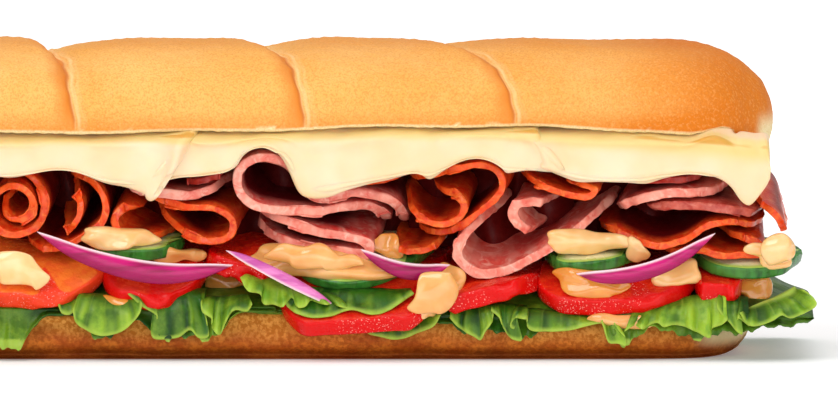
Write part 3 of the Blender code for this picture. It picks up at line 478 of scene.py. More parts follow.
def lettuce_finish(tree, place):
    """Leaf green: darker or lighter by its painted tone and shade, with a pale rib carrying a painted
    highlight on a rolled leaf, soft veins and a light hem.
    """
    tone_and_shade = measure(tree, "tone_and_shade")
    tone = use(tree, PATCHES, place, Scale=130.0, Detail=5.0, Softness=0.1)
    dark_leaf = blend(tree, tone, rgb("2C5E10"), rgb("153A08"))
    light_leaf = blend(tree, tone, rgb("97BA30"), rgb("64921C"))
    # Leaf tone and painted shade: dark or light leaf green
    base = blend(tree, tone_and_shade, dark_leaf, light_leaf)
    base = blend(tree, times(tree, measure(tree, "vein"), 0.25), base, rgb("B9D65A"))
    # Pale band along the rolled leaf: partly its rib, partly a painted highlight
    base = blend(tree, measure(tree, "rib_and_highlight"), base, rgb("B4D25A"))
    hem = ramp(tree, measure(tree, "edge"), 1.0, 0.1)
    colour = blend(tree, times(tree, hem, 0.75), base, rgb("A8C446"))
    roughness = ramp(tree, tone, 0.0, 1.0, 0.28, 0.45)
    return colour, roughness, use(tree, RELIEF, place, Scale=380.0, Strength=0.5, Depth=0.0005)


def sauce_finish(tree, place):
    """Sauce between cream and orange, as painted."""
    cloud = use(tree, PATCHES, place, Scale=120.0, Detail=2.0, Softness=0.25)
    cream = blend(tree, cloud, rgb("FFDAA0"), rgb("F8C276"))
    orange = blend(tree, cloud, rgb("EE9C34"), rgb("D87E14"))
    colour = blend(tree, measure(tree, "orange"), cream, orange)
    roughness = ramp(tree, cloud, 0.0, 1.0, 0.14, 0.26)
    return colour, roughness, use(tree, RELIEF, place, Scale=150.0, Strength=0.15, Depth=0.0006)


def soft(weight, radius):
    """Light that goes a little way into the food."""
    return {"Subsurface_Weight": weight, "Subsurface_Scale": radius * MM}


def gloss(coat, coat_roughness, level):
    """A thin wet coat over a plain reflection."""
    return {"Coat_Weight": coat, "Coat_Roughness": coat_roughness, "Specular_IOR_Level": level}


FINISHES = {
    "crown": finish_of("crown crust", crown_finish, Specular_IOR_Level=0.15, **soft(0.05, 1.0)),
    "heel": finish_of("heel crust", heel_finish, Specular_IOR_Level=0.2),
    "cheese": finish_of("melted cheese", cheese_finish, **gloss(0.15, 0.25, 0.3), **soft(0.3, 2.5)),
    "pepperoni": finish_of("pepperoni", meat_finish(
        wall="D42206", deep="5E0608", fat="FF8E3C", rim="FA4E14", rim_shade="CA2606", fleck_scale=600.0,
        patch_level=0.57, fatness=0.55, dark_from=0.4, dark_at=7.0), **gloss(0.3, 0.06, 0.15)),
    # Painted shade: a darker copy of the pepperoni for the slices under the cheese
    "pepperoni_in_shade": finish_of("pepperoni in painted shade", meat_finish(
        wall="961812", deep="52060A", fat="C8503C", rim="B42C20", rim_shade="8C1C16", fleck_scale=600.0,
        patch_level=0.62, fatness=0.5), **gloss(0.3, 0.08, 0.15)),
    # Painted shade: near-black meat for the slices tucked between the folds
    "tucked": finish_of("dark meat as painted shade", meat_finish(
        wall="5E0E0E", deep="3A0507", fat="7A2A24", rim="5E0E0E", rim_shade="4A0A0C", fleck_scale=650.0,
        patch_level=0.64, fatness=0.5), **gloss(0.0, 0.3, 0.1)),
    "salami": finish_of("salami", meat_finish(
        wall="DA3C36", deep="5A080E", fat="FFD0BA", rim="FF9E88", rim_shade="E05A4C", fleck_scale=430.0,
        patch_level=0.56, fatness=0.55, dark_from=0.5, dark_at=7.5), **gloss(0.25, 0.08, 0.15)),
    "salami_open": finish_of("pale salami", meat_finish(
        wall="E25044", deep="8A1A1E", fat="FFCAB4", rim="FF9E86", rim_shade="E25C4C", fleck_scale=330.0,
        patch_level=0.54, fatness=0.7, dark_from=3.0, dark_at=19.0), **gloss(0.25, 0.08, 0.15)),
    "salami_dark": finish_of("dark salami", meat_finish(
        wall="B83228", deep="4A080C", fat="E88E78", rim="D2604C", rim_shade="A8322A", fleck_scale=480.0,
        patch_level=0.6, fatness=0.55, dark_from=1.0, dark_at=10.0), **gloss(0.3, 0.08, 0.15)),
    "tomato": finish_of("tomato", tomato_finish("DC0606", "D41A12", "E43414"), **gloss(0.15, 0.06, 0.15),
                        **soft(0.08, 1.2)),
    "tomato_orange": finish_of("orange tomato", tomato_finish("F0301A", "F4662A", "FA7C2A"),
                               **gloss(0.15, 0.06, 0.15), **soft(0.08, 1.2)),
    "cucumber": finish_of("cucumber", cucumber_finish, **gloss(0.25, 0.12, 0.3), **soft(0.08, 1.2)),
    "onion": finish_of("onion", onion_finish("CC1A74", "900848"), **gloss(0.2, 0.12, 0.2),
                       **soft(0.1, 1.0)),
    "onion_lilac": finish_of("lilac onion", onion_finish("E889C4", "C04C9C"), **gloss(0.25, 0.12, 0.3),
                             **soft(0.1, 1.0)),
    "lettuce": finish_of("lettuce", lettuce_finish, Specular_IOR_Level=0.25, **soft(0.1, 0.8)),
    "sauce": finish_of("sauce", sauce_finish, **gloss(0.8, 0.08, 0.35), **soft(0.25, 2.0)),
}
FINISH_OF_NODE = {
    "pepperoni_flat": "pepperoni_in_shade", "pepperoni_under": "pepperoni_in_shade", "salami_dark": "salami_dark",
    "salami_cone": "salami_open", "salami_cone_left": "salami_open", "salami_curl": "salami_open",
    "tomato_1": "tomato_orange", "onion_2": "onion_lilac",
}
ORANGE_OF_NODE = {"sauce_1": 0.1, "sauce_2": 0.6, "sauce_3": 0.55, "sauce_4": 0.2}


# Meshes

def skin(node):
    """The surface of a solid in millimetres, as one skin with most of its triangles paired."""
    bm = bmesh.new()
    bm.from_mesh(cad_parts[node].data)
    bmesh.ops.remove_doubles(bm, verts=bm.verts, dist=WELD)
    bmesh.ops.scale(bm, vec=(1 / MM,) * 3, verts=bm.verts)
    bmesh.ops.join_triangles(bm, faces=bm.faces, angle_face_threshold=math.radians(50),
                             angle_shape_threshold=math.pi)
    return bm


def crease_round(bm, marks, sharpness):
    """Creases the edges between the marked faces and the others."""
    crease = bm.edges.layers.float.new("crease_edge")
    for edge in bm.edges:
        if sum(face[marks] for face in edge.link_faces) == 1:
            edge[crease] = sharpness


def mark_rim(bm, thickness, sharpness):
    """Marks the narrow faces round the edge of a slice, and creases the edges beside them."""
    rim = bm.faces.layers.int.new("rim")
    for face in bm.faces:
        shortest = min(edge.calc_length() for edge in face.edges)
        turned = sum(edge.calc_face_angle(0) > RIM_ANGLE for edge in face.edges)
        if shortest < RIM_SHARE * thickness and turned >= len(face.edges) - 2:
            face[rim] = 1
    crease_round(bm, rim, sharpness)


def cut_across(bm, axis, places):
    """Cuts the faces along planes across an axis, without opening the mesh."""
    normal = Vector((0.0, 0.0, 0.0))
    normal[axis] = 1.0
    for place in places:
        geometry = bm.verts[:] + bm.edges[:] + bm.faces[:]
        bmesh.ops.bisect_plane(bm, geom=geometry, dist=CUT_SLACK, plane_co=normal * place,
                               plane_no=normal)


def points_of(mesh):
    points = np.empty(len(mesh.vertices) * 3)
    mesh.vertices.foreach_get("co", points)
    return points.reshape(-1, 3)


def grown(bm, levels, hold=None):
    """The mesh of a skin after a subdivision surface, which still passes through the skin's own points.

    Where hold, a function of the points, gives less than 1, the surface is left rounder than that.
    """
    rough = bpy.data.meshes.new("rough")
    bm.to_mesh(rough)
    bm.free()
    holder = bpy.data.objects.new("rough", rough)
    bpy.context.scene.collection.objects.link(holder)
    subdivision = holder.modifiers.new("subdivision", "SUBSURF")
    subdivision.levels = subdivision.render_levels = levels
    wanted = points_of(rough)
    guide = wanted.copy()
    share = hold(wanted)[:, None] if hold else 1.0
    for _ in range(CLOSING_ROUNDS):
        grown_now = holder.evaluated_get(bpy.context.evaluated_depsgraph_get()).data
        guide += (wanted - points_of(grown_now)[:len(wanted)]) * share
        rough.vertices.foreach_set("co", guide.ravel())
        rough.update()
    made = bpy.data.meshes.new_from_object(holder.evaluated_get(bpy.context.evaluated_depsgraph_get()))
    bpy.data.objects.remove(holder, do_unlink=True)
    return made


def normals_of(mesh):
    normals = np.empty(len(mesh.vertices) * 3)
    mesh.vertices.foreach_get("normal", normals)
    return normals.reshape(-1, 3)


def paint(mesh, name, values):
    """Stores a number on each point of the mesh."""
    attribute = mesh.attributes.new(name, "FLOAT", "POINT")
    attribute.data.foreach_set("value", np.asarray(values, dtype=np.float32))


def smooth_step(low, high, value):
    share = np.clip((value - low) / (high - low), 0.0, 1.0)
    return share * share * (3 - 2 * share)


def drift(points, length, seed):
    """A smooth field of vectors, each component about -1 to 1, that changes over the given length."""
    draw = random.Random(seed)
    total = np.zeros_like(points)
    for _ in range(5):
        direction = Vector((draw.gauss(0, 1), draw.gauss(0, 1), draw.gauss(0, 1))).normalized()
        wave = 2 * math.pi / (length * draw.uniform(0.75, 1.4))
        phase = points @ np.array(direction) * wave
        for axis in range(3):
            total[:, axis] += np.sin(phase + draw.uniform(0, 2 * math.pi))
    return total / 2.6


def rim_distance(mesh, reach=20.0):
    """How far each point lies from the cut rim of its slice."""
    marked = np.zeros(len(mesh.polygons), dtype=np.int32)
    mesh.attributes["rim"].data.foreach_get("value", marked)
    on_rim = sorted({v for face in np.nonzero(marked)[0] for v in mesh.polygons[int(face)].vertices})
    points = points_of(mesh)
    tree = kdtree.KDTree(len(on_rim))
    for k, v in enumerate(on_rim):
        tree.insert(points[v], k)
    tree.balance()
    if not on_rim:
        return np.full(len(points), reach)
    return np.array([min(reach, tree.find(point)[2]) for point in points])


def piece(name, mesh, points, finish, slot, *nodes):
    """Makes the mesh, moved to the given points in millimetres, a piece of the roll."""
    mesh.vertices.foreach_set("co", (points * MM).ravel())
    mesh.update()
    mesh.shade_smooth()
    mesh.materials.clear()
    mesh.materials.append(FINISHES[finish])
    made = bpy.data.objects.new(name, mesh)
    bpy.context.scene.collection.objects.link(made)
    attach(made, "root")
    if nodes:
        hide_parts(*nodes)
    return made


def place_mesh(bm, name):
    """A finished bmesh in millimetres as a mesh and its points."""
    mesh = bpy.data.meshes.new(name)
    bm.to_mesh(mesh)
    bm.free()
    return mesh, points_of(mesh)


def thicken(made, thickness):
    """Gives a sheet its thickness in millimetres and rounds it."""
    shell = made.modifiers.new("thickness", "SOLIDIFY")
    shell.thickness = thickness * MM
    shell.offset = 0.0
    smooth = made.modifiers.new("smooth", "SUBSURF")
    smooth.levels = smooth.render_levels = 1


def mound(y):
    """How much higher than at the long edges everything lies at y."""
    return MOUND * np.clip(1 - np.abs(y - SOLID_SHIFT[1]) / ROLL_HALF_WIDTH, 0, 1)


# Dressing each kind of filling

def dressed(node, family, mesh, points):
    """Makes the mesh the piece that stands in for a solid."""
    piece("dressed_" + node, mesh, points, FINISH_OF_NODE.get(node, family), family, node)


def dress_meat(node, family):
    """A folded slice, thinner and softly ruffled at its rim."""
    bm = skin(node)
    mark_rim(bm, THICKNESS[family], SHARPNESS[family])
    cut_across(bm, 1, MEAT_CUTS)
    mesh = grown(bm, LEVELS[family])
    edge = rim_distance(mesh)
    paint(mesh, "edge", edge)
    points = points_of(mesh)
    points -= normals_of(mesh) * (THINNING[family] * np.exp(-edge / 3.0))[:, None]
    ruffle = drift(points, 18.0, 1) * (0.3, 0.9, 0.3) + drift(points, 6.0, 2) * (0.12, 0.5, 0.12)
    fine = drift(points, 2.6, 3) * (0.1, 0.15, 0.1)
    points += ruffle + fine * np.exp(-edge / 2.0)[:, None]
    dressed(node, family, mesh, points)


def dress_slice(node, family):
    """A flat round slice of tomato or cucumber, hardly bent."""
    bm = skin(node)
    mark_rim(bm, THICKNESS[family], SHARPNESS[family])
    mesh = grown(bm, LEVELS[family])
    paint(mesh, "edge", rim_distance(mesh))
    points = points_of(mesh)
    points += drift(points, 26.0, 4) * (0.2, 0.4, 0.25) + drift(points, 5.0, 5) * (0.05, 0.12, 0.06)
    dressed(node, family, mesh, points)


def dress_cheese(node, family):
    """A melted slice that laps over its neighbour at the seam, with painted shade where it goes in under the
    crown.
    """
    mesh = grown(skin(node), LEVELS[family], lambda at: np.full(len(at), CHEESE_HOLD))
    points, normals = points_of(mesh), normals_of(mesh)
    x, y, z = points.T
    for upper, (place, lean) in CHEESE_SEAMS.items():
        seam = place + SOLID_SHIFT[0] + lean * (z - SEAM_HEIGHT) / 10.0
        seam += SEAM_SKEW * (y - SOLID_SHIFT[1]) / (2 * ROLL_HALF_WIDTH)
        past = x - seam
        if node == upper:
            lap = smooth_step(-12.0, 0.0, past)
            x += SEAM_LAP * lap
            points += normals * (SEAM_LIFT * smooth_step(-9.0, -1.0, past))[:, None]
        else:
            x -= 0.8 * smooth_step(8.0, 0.0, past) * (past < 8.0) * (past > -3.0)
    points += drift(points, 30.0, 6) * (0.2, 0.9, 0.3) + drift(points, 9.0, 7) * (0.1, 0.3, 0.12)
    at_end = smooth_step(*CHEESE_END_X, x) * smooth_step(*CHEESE_END_Z, z)
    z += CHEESE_END_LIFT * at_end
    # Painted shade: a band of varying depth along the front, under the crown's edge
    top = np.interp(x, CROWN_EDGE_X, CROWN_EDGE_Z)
    depth = 4.2 + 3.2 * smooth_step(55.0, 120.0, x)
    depth = depth + 0.9 * drift(points, 22.0, 21)[:, 0]
    on_front = smooth_step(-32.0, -38.0, y)
    paint(mesh, "shade_under_crown", smooth_step(top - depth, top - 0.2, z) * on_front)
    dressed(node, family, mesh, points)


def dress_onion(node, family):
    """A slice whose pale cut side looks up, or down on the one that leans out over the leaves."""
    bm = skin(node)
    cut = bm.faces.layers.int.new("rim")
    sign = -1 if node == "onion_2" else 1
    for face in bm.faces:
        face[cut] = int(face.normal.z * sign > 0.72 and abs(face.normal.y) < 0.6)
    crease_round(bm, cut, SHARPNESS[family])
    mesh = grown(bm, LEVELS[family])
    distance = rim_distance(mesh)
    paint(mesh, "cut", 1 - smooth_step(0.1, 0.9, distance))
    paint(mesh, "low", smooth_step(0.6, 4.5, distance))
    points = points_of(mesh)
    points += drift(points, 20.0, 8) * (0.1, 0.3, 0.2)
    dressed(node, family, mesh, points)


def dress_sauce(node, family):
    mesh = grown(skin(node), LEVELS[family])
    points = points_of(mesh)
    points += drift(points, 9.0, 9) * (1.0, 0.4, 0.9)
    paint(mesh, "orange", np.full(len(points), ORANGE_OF_NODE[node]))
    dressed(node, family, mesh, points)


def dress_lettuce(node, family):
    """A leaf that is wavy where it hangs over the edge of the bread."""
    mesh = grown(skin(node), LEVELS[family])
    points, normals = points_of(mesh), normals_of(mesh)
    x, y, z = points.T
    side = np.sign(y)
    hanging = smooth_step(13.5, 5.0, z) * smooth_step(32.0, 36.0, np.abs(y))
    wave = np.sin(x * 0.95 + 1.2 * np.sin(x * 0.31)) + 0.5 * np.sin(x * 2.1)
    y += side * hanging * (0.4 + 0.7 * wave)
    z += hanging * (0.7 * np.sin(x * 1.3 + 1.0) + 0.3 * np.sin(x * 2.9))
    points += drift(points, 7.0, 10) * (0.3, 0.3, 0.3) * hanging[:, None]
    paint(mesh, "edge", 6.0 * smooth_step(5.2, 9.5, z) + 3.0 * (np.abs(normals[:, 2]) > 0.95))
    # Painted shade: these leaves, behind the loose edges, stay dark, with some random tone
    paint(mesh, "tone_and_shade", np.clip(0.25 + 0.3 * drift(points, 16.0, 22)[:, 0], 0, 1))
    dressed(node, family, mesh, points)


def across_crown(y):
    """For each place in y its place round the dome of the crown, from 1 at the front to -1 at the back."""
    share = np.clip(-(y - SOLID_SHIFT[1]) / ROLL_HALF_WIDTH, -1.0, 1.0)
    return np.sign(share) * np.abs(share) ** 1.25


def dress_crown():
    """The upper half of the roll: grooves and wrinkles at its slashes with painted shade in their creases,
    darker at its ends and low down.
    """
    def hold(at):
        at_end = smooth_step(*CROWN_END_X, at[:, 0]) * smooth_step(*CROWN_END_Z, at[:, 2])
        return 1 - CROWN_END_EASE * at_end

    mesh = grown(skin("bread_crown"), LEVELS["bread"], hold)
    points, normals = points_of(mesh), normals_of(mesh)
    x, y, z = points.T
    across = across_crown(y)
    height = smooth_step(CROWN_LOW + 0.5, CROWN_LOW + 6.0, z)
    nearest = np.full(len(points), 20.0)
    for place, run in SLASHES:
        offset = x - SOLID_SHIFT[0] - place - run * across
        offset = offset + 0.5 * np.sin(across * 9.0) + 0.3 * np.sin(across * 23.0)
        nearest = np.where(np.abs(offset) < np.abs(nearest), offset, nearest)
    line = np.exp(-(nearest / 0.8) ** 2)
    band = smooth_step(-0.6, 0.8, nearest) * (1 - smooth_step(1.5, 7.0, nearest))
    wrinkles = np.sin(nearest * 2.6 + 1.5 * np.sin(across * 6.0)) * band
    points -= normals * (height * (0.4 * line + 0.1 * wrinkles))[:, None]
    points += drift(points, 34.0, 11) * (0.2, 0.5, 0.35) + normals * (0.12 * drift(points, 4.0, 12)[:, :1])
    near_edge = 1 - smooth_step(CROWN_LOW + 0.5, CROWN_LOW + 8.0, z)
    far_end = smooth_step(95.0, 146.0, np.abs(x)) + 0.25 * smooth_step(0.0, 105.0, x)
    ridge = smooth_step(80.0, 83.5, z) * 0.4
    paint(mesh, "darker_crust", np.clip(0.6 * near_edge + 0.85 * far_end + ridge, 0, 1))
    paint(mesh, "slash_offset", nearest)
    paint(mesh, "across", across)
    paint(mesh, "slash", (0.3 + 0.7 * height) * smooth_step(16.0, 10.0, np.abs(nearest)))
    # Painted shade along the crease of each slash, on the sloping sides
    paint(mesh, "crease", np.exp(-(nearest / 0.45) ** 2) * smooth_step(0.35, 0.7, np.abs(across)) * height)
    lobe = smooth_step(143.5, 146.5, x) * (1 - smooth_step(59.0, 66.0, z))
    rough = 0.5 * drift(points, 2.4, 23)[:, 0]
    edge = np.interp(x, CROWN_EDGE_X, CROWN_EDGE_Z)
    under = smooth_step(-0.35, -0.7, normals[:, 2])
    under += smooth_step(edge + 1.3, edge + 0.5, z + rough)
    paint(mesh, "unbrowned", np.clip(lobe + under, 0, 1))
    piece("dressed_bread_crown", mesh, points, "crown", "crust", "bread_crown")


def dress_heel():
    """The lower half of the roll: brown below with painted shade at its foot, golden above, pale inside and
    at its right end.
    """
    bm = skin("bread_heel")
    cut_across(bm, 0, HEEL_CUTS)
    mesh = grown(bm, LEVELS["bread"])
    points, normals = points_of(mesh), normals_of(mesh)
    x, _, z = points.T
    above_floor = smooth_step(0.2, 1.5, z)[:, None]
    bumps = drift(points, 24.0, 13) * (0.2, 0.35, 0.2) + normals * (0.1 * drift(points, 3.0, 14)[:, :1])
    points += bumps * above_floor
    blotch = drift(points, 14.0, 15)[:, 0]
    paint(mesh, "upper", smooth_step(4.0, 10.0, z + 1.6 * blotch))
    # Painted shade low down, towards the floor
    paint(mesh, "darker_crust", (1 - smooth_step(0.4, 4.2, z + 0.8 * blotch)) * 0.75)
    end = smooth_step(127.0, 135.0, x + 1.6 * blotch)
    top = smooth_step(0.7, 0.95, normals[:, 2]) * smooth_step(8.0, 11.0, z)
    paint(mesh, "unbrowned", np.clip(end * smooth_step(1.5, 6.0, z) * 0.9 + top, 0, 1))
    piece("dressed_bread_heel", mesh, points, "heel", "crust", "bread_heel")


# What is added between and in front of the solids

def hem_line(hem, count):
    """Points spaced evenly along a smooth line through the given ones, and how far along it they lie."""
    given = np.array(hem)
    at = np.concatenate(([0.0], np.cumsum(np.hypot(*np.diff(given, axis=0).T))))
    slope = np.gradient(given, at, axis=0)
    along = np.linspace(0, at[-1], count)
    k = np.clip(np.searchsorted(at, along, side="right") - 1, 0, len(at) - 2)
    span = (at[k + 1] - at[k])[:, None]
    t = (along - at[k])[:, None] / span
    line = (2 * t ** 3 - 3 * t ** 2 + 1) * given[k] + (t ** 3 - 2 * t ** 2 + t) * span * slope[k]
    line += (3 * t ** 2 - 2 * t ** 3) * given[k + 1] + (t ** 3 - t ** 2) * span * slope[k + 1]
    return line, along


def mirrored(y, side):
    """A place in y, turned over to the other side of the roll for the back."""
    return y if side == FRONT else 2 * SOLID_SHIFT[1] - y


def front_of(tree, x, z, side):
    """Where a look at x and z from outside meets the tree, as if from the front, or None."""
    hit = tree.ray_cast((x, 80.0 * side, z), (0, -side, 0), 75.0)[0]
    return None if hit is None else mirrored(hit.y, side)


def neighbours(grid):
    """The grid of numbers nine times, moved by one place each way."""
    wide = np.pad(grid, 1, mode="edge")
    rows, columns = grid.shape
    return [wide[i:i + rows, j:j + columns] for i in range(3) for j in range(3)]


def eased(grid, rounds):
    """The grid of numbers with each one the mean of itself and its neighbours."""
    for _ in range(rounds):
        grid = np.mean(neighbours(grid), axis=0)
    return grid


def widened(grid):
    """The grid of numbers with each one the largest among itself and its neighbours."""
    return np.max(neighbours(grid), axis=0)


def leaf(bm, layers, values, grid, side, draw, trees):
    """Adds the loose edge of a leaf: flat at its root, hanging over what is there, ruffled at its hem."""
    hem, root, hem_y, tone_and_shade, ruffle, kind = values
    tree = trees[kind]
    columns, rows = grid
    line, along = hem_line(hem, columns + 1)
    phases = [draw.uniform(0, 2 * math.pi) for _ in range(4)]
    share = np.linspace(0, 1, columns + 1)
    start = np.array(root[0]) + (np.array(root[1]) - np.array(root[0])) * share[:, None]
    bend = 1.2 * np.sin(along * 0.37 + phases[1])
    fold = np.sin(2 * math.pi * along / FOLD_LENGTHS[0] + phases[0] + bend)
    fold += 0.35 * np.sin(2 * math.pi * along / FOLD_LENGTHS[1] + phases[2])
    v = np.linspace(0, 1, rows + 1)[None]
    turn = v * math.pi / 2
    lift = ruffle * v ** 1.6 * fold[:, None]
    x = start[:, :1] + (line[:, :1] - start[:, :1]) * v
    z = start[:, 1:] + (line[:, 1:] - start[:, 1:]) * (1 - np.cos(turn)) + 0.3 * lift * np.cos(turn)
    y = LEAF_ROOT_Y + (hem_y - LEAF_ROOT_Y) * np.sin(turn) ** 0.8 - 0.6 * lift * np.sin(turn)
    push = np.zeros_like(x)
    for i in range(columns + 1):
        for j in range(2, rows + 1):
            front = front_of(tree, x[i, j], z[i, j], side)
            if front is not None:
                push[i, j] = max(0.0, y[i, j] - (front - LEAF_CLEARANCE))
    y = y - eased(widened(push), 2)
    length = np.hypot(line[:, 0] - start[:, 0], line[:, 1] - start[:, 1])
    vein = np.abs(np.sin(math.pi * along / VEIN_SPACING + phases[3]))
    made = bmesh.ops.create_grid(bm, x_segments=columns, y_segments=rows, size=0.5)["verts"]
    for vert in made:
        i, j = round((vert.co.x + 0.5) * columns), round((vert.co.y + 0.5) * rows)
        vert.co = (x[i, j], mirrored(y[i, j], side), z[i, j])
        vert[layers["edge"]] = (1 - v[0, j]) * length[i]
        vert[layers["vein"]] = max(0.0, 1 - vein[i] / 0.16) * (1 - 0.6 * v[0, j])
        # Pale band along the rolled leaf's fold near its root, with a painted highlight
        vert[layers["rib_and_highlight"]] = (kind == "rolls") * math.exp(-((v[0, j] - 0.16) / 0.12) ** 2)
        # Painted light and shade: lighter and darker along the ruffle's folds, and painted shade towards the
        # root, under the slices
        shade = tone_and_shade[0] + (tone_and_shade[1] - tone_and_shade[0]) * share[i] + 0.3 * fold[i] * v[0, j]
        vert[layers["tone_and_shade"]] = min(1.0, max(0.0, shade + 0.6 * (v[0, j] - 0.7)))


def add_leaves(name, leaves, grid, side, seed, trees):
    """One piece with all the loose leaf edges of a stretch."""
    draw = random.Random(seed)
    bm = bmesh.new()
    layers = {key: bm.verts.layers.float.new(key) for key in ("edge", "vein", "rib_and_highlight", "tone_and_shade")}
    for values in leaves:
        leaf(bm, layers, values, grid, side, draw, trees)
    bmesh.ops.recalc_face_normals(bm, faces=bm.faces)
    mesh, points = place_mesh(bm, name)
    points += drift(points, 6.0, seed) * (0.2, 0.2, 0.2)
    thicken(piece(name, mesh, points, "lettuce", "lettuce"), LEAF_THICKNESS)


def hidden_leaves(start, stop, step, seed):
    """Leaf edges like those along the front, for where the photograph doesn't reach."""
    draw = random.Random(seed)
    leaves = []
    x = start
    while x < stop:
        half, low, root = draw.uniform(6.0, 12.0), draw.uniform(5.0, 10.5), draw.uniform(14.4, 16.4)
        count = draw.randint(5, 8)
        hem = [(x - half, root - 2.5)]
        for k in range(1, count):
            place = 2 * k / count - 1
            hem.append((x + half * place + draw.uniform(-0.8, 0.8),
                        low + 3.0 * abs(place) ** 3 + draw.uniform(-1.4, 1.8)))
        hem.append((x + half, root - 2.5))
        tone_and_shade = (draw.uniform(0.0, 0.7), draw.uniform(0.1, 0.9))
        leaves.append((hem, ((x - 0.8 * half, root), (x + 0.8 * half, root)), draw.uniform(-42.6, -40.8),
                       tone_and_shade, draw.uniform(0.5, 1.5), "hangs"))
        x += step * draw.uniform(0.8, 1.25)
    return leaves


def carriers(families):
    """A tree of the solids of these families, in millimetres, for looking where their surface lies."""
    vertices, faces = [], []
    for node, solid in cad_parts.items():
        if node.split("_")[0] not in families:
            continue
        start = len(vertices)
        vertices += [tuple(vertex.co / MM) for vertex in solid.data.vertices]
        faces += [tuple(start + v for v in face.vertices) for face in solid.data.polygons]
    return bvhtree.BVHTree.FromPolygons(vertices, faces)


def dollop(bm, layer, tree, values, draw):
    """Adds a dollop of sauce that lies on whatever the front shows at its place."""
    centre_x, centre_z, half_x, half_z, thickness, slope, orange = values
    phases = [draw.uniform(0, 2 * math.pi) for _ in range(5)]
    made = bmesh.ops.create_icosphere(bm, subdivisions=5, radius=1.0)["verts"]
    u, inward, v = np.array([vert.co[:] for vert in made]).T
    angle = np.arctan2(v, u)
    reach = 1 + 0.14 * np.sin(2 * angle + phases[0]) + 0.12 * np.sin(3 * angle + phases[1])
    reach += 0.07 * np.sin(5 * angle + phases[2])
    places = np.stack((centre_x + half_x * u * reach,
                       centre_z + half_z * v * reach + slope * half_x * u), axis=1)
    lump = 1 + 0.3 * np.sin(2.2 * u + phases[3]) * np.cos(2.6 * v + phases[4])
    fronts = [front_of(tree, x, z, FRONT) for x, z in places]
    depths = np.array([np.nan if front is None else front for front in fronts])
    middle = np.nanpercentile(depths, 35)
    depths = np.clip(np.nan_to_num(depths, nan=middle), middle - DOLLOP_RANGE[0], middle + DOLLOP_RANGE[1])
    apart = ((places[:, None] - places[None]) ** 2).sum(axis=2)
    near = np.exp(-apart / (2 * DOLLOP_SMOOTHING ** 2))
    behind = (near @ depths) / near.sum(axis=1)
    first = np.where(apart < DOLLOP_BRIDGE ** 2, depths[None], np.inf).min(axis=1)
    front = (near @ first) / near.sum(axis=1)
    y = np.where(inward < 0, front - thickness * lump * np.clip(-inward, 0, 1) ** 0.8,
                 front + (np.maximum(behind, front) - front + 1.0) * np.clip(inward, 0, 1))
    for vert, (x, z), at_y in zip(made, places, y):
        vert.co = (x, at_y, z)
        vert[layer] = orange


def add_dollops(tree):
    """One piece with all the small dollops and smears of sauce."""
    draw = random.Random(31)
    bm = bmesh.new()
    layer = bm.verts.layers.float.new("orange")
    for values in DOLLOPS:
        dollop(bm, layer, tree, values, draw)
    bmesh.ops.recalc_face_normals(bm, faces=bm.faces)
    mesh, points = place_mesh(bm, "sauce_dollops")
    points += drift(points, 7.0, 32) * (0.3, 0.25, 0.35)
    piece("sauce_dollops", mesh, points, "sauce", "sauce")


def add_tucked(name, side):
    """Dark slices that fill the spaces between the folds, deep inside, as painted shade."""
    bm = bmesh.new()
    layer = bm.verts.layers.float.new("edge")
    columns, rows = TUCKED_GRID
    for k, (from_x, to_x, at_y) in enumerate(TUCKED):
        made = bmesh.ops.create_grid(bm, x_segments=columns, y_segments=rows, size=0.5)["verts"]
        for vert in made:
            u, v = vert.co.x + 0.5, vert.co.y + 0.5
            x = from_x + (to_x - from_x) * u
            y = mirrored(at_y + 2.4 * math.sin(0.42 * x + k) + 1.2 * math.sin(9 * v + 0.3 * x), side)
            z = TUCKED_LOW + TUCKED_HEIGHT * v + 1.5 * math.sin(0.5 * x + k)
            vert.co = (x, y, z + float(mound(y)))
            vert[layer] = 4.0 + 2.0 * math.sin(0.8 * x + 5 * v)
    bmesh.ops.recalc_face_normals(bm, faces=bm.faces)
    mesh, points = place_mesh(bm, name)
    thicken(piece(name, mesh, points, "tucked", "pepperoni"), TUCKED_THICKNESS)


DRESSERS = {"pepperoni": dress_meat, "salami": dress_meat, "tomato": dress_slice, "cucumber": dress_slice,
            "cheese": dress_cheese, "onion": dress_onion, "sauce": dress_sauce, "lettuce": dress_lettuce}


# Surroundings

def set_camera():
    """The photograph's view, from far off through a long lens."""
    distance = FRAME_WIDTH_PX * MM_PER_PX * MM * CAMERA_LENS / CAMERA_SENSOR
    rise = math.radians(CAMERA_ELEVATION)
    away = Vector((0.0, -math.cos(rise), math.sin(rise)))
    camera = bpy.data.cameras.new("camera")
    camera.lens = CAMERA_LENS
    camera.sensor_width = CAMERA_SENSOR
    camera.clip_end = CAMERA_REACH
    holder = bpy.data.objects.new("camera", camera)
    holder.location = Vector(VIEW_CENTRE) * MM + away * distance
    holder.rotation_euler = away.to_track_quat("Z", "Y").to_euler()
    bpy.context.scene.collection.objects.link(holder)
    bpy.context.scene.camera = holder


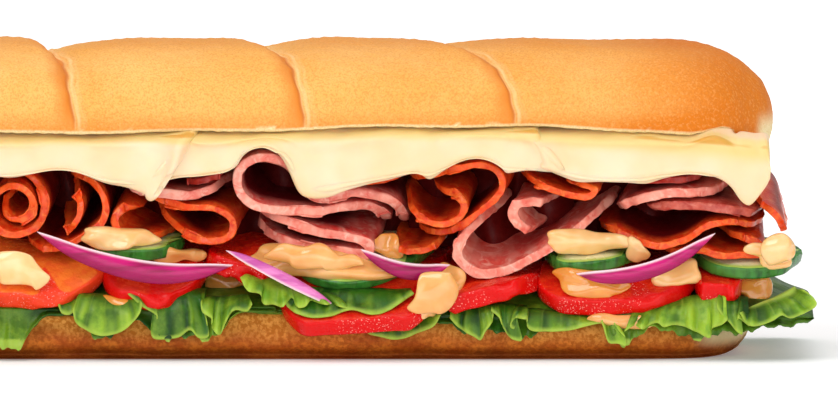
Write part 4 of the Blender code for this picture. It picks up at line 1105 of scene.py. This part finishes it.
def floor_paper():
    """White paper that glows a little more the farther away it is."""
    paper = bpy.data.materials.new("floor paper")
    paper.use_nodes = True
    tree = paper.node_tree
    shader = tree.nodes["Principled BSDF"]
    shader.inputs["Base Color"].default_value = FLOOR_COLOUR
    shader.inputs["Roughness"].default_value = 0.9
    shader.inputs["Specular IOR Level"].default_value = 0.1
    shader.inputs["Emission Color"].default_value = WHITE
    place = put(tree, "ShaderNodeTexCoord").outputs["Object"]
    away = put(tree, "ShaderNodeVectorMath", {0: place}, operation="LENGTH").outputs["Value"]
    glow = ramp(tree, away, *FLOOR_GLOW_AT, *FLOOR_GLOW)
    tree.links.new(glow, shader.inputs["Emission Strength"])
    return paper


def set_floor():
    bm = bmesh.new()
    bmesh.ops.create_grid(bm, x_segments=1, y_segments=1, size=FLOOR_SIZE)
    mesh = bpy.data.meshes.new("floor")
    bm.to_mesh(mesh)
    bm.free()
    mesh.materials.append(floor_paper())
    floor = bpy.data.objects.new("floor", mesh)
    bpy.context.scene.collection.objects.link(floor)


def set_lights():
    """A pale sky and large soft lights."""
    world = bpy.data.worlds.new("studio")
    world.use_nodes = True
    sky = world.node_tree.nodes["Background"]
    sky.inputs["Color"].default_value = WHITE
    sky.inputs["Strength"].default_value = SKY_STRENGTH
    bpy.context.scene.world = world
    for name, place, size, power in LIGHTS:
        light = bpy.data.lights.new(name, "AREA")
        light.shape = "RECTANGLE"
        light.size, light.size_y = size
        light.energy = power
        holder = bpy.data.objects.new(name, light)
        holder.location = place
        holder.rotation_euler = (Vector(place) - Vector(LIGHT_AIM)).to_track_quat("Z", "Y").to_euler()
        bpy.context.scene.collection.objects.link(holder)
    bpy.context.scene.view_settings.view_transform = "Standard"


def main():
    """Dresses every solid, adds what lies between and in front of them, and sets up the studio."""
    dress_crown()
    dress_heel()
    for node in sorted(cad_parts):
        family = node.split("_")[0]
        if family in DRESSERS:
            DRESSERS[family](node, family)
    add_tucked("tucked_front", FRONT)
    add_tucked("tucked_back", BACK)
    tree = carriers(CARRIERS)
    low_tree = carriers(LOW_CARRIERS)
    trees = {"lies": tree, "hangs": low_tree, "rolls": low_tree}
    add_leaves("leaves_front", FRONT_LEAVES, LEAF_GRID, FRONT, 41, trees)
    add_leaves("leaves_left", hidden_leaves(*LEFT_LEAVES, 42), HIDDEN_LEAF_GRID, FRONT, 43, trees)
    add_leaves("leaves_back", hidden_leaves(*BACK_LEAVES, 44), HIDDEN_LEAF_GRID, BACK, 45, trees)
    add_dollops(tree)
    set_camera()
    set_floor()
    set_lights()


main()
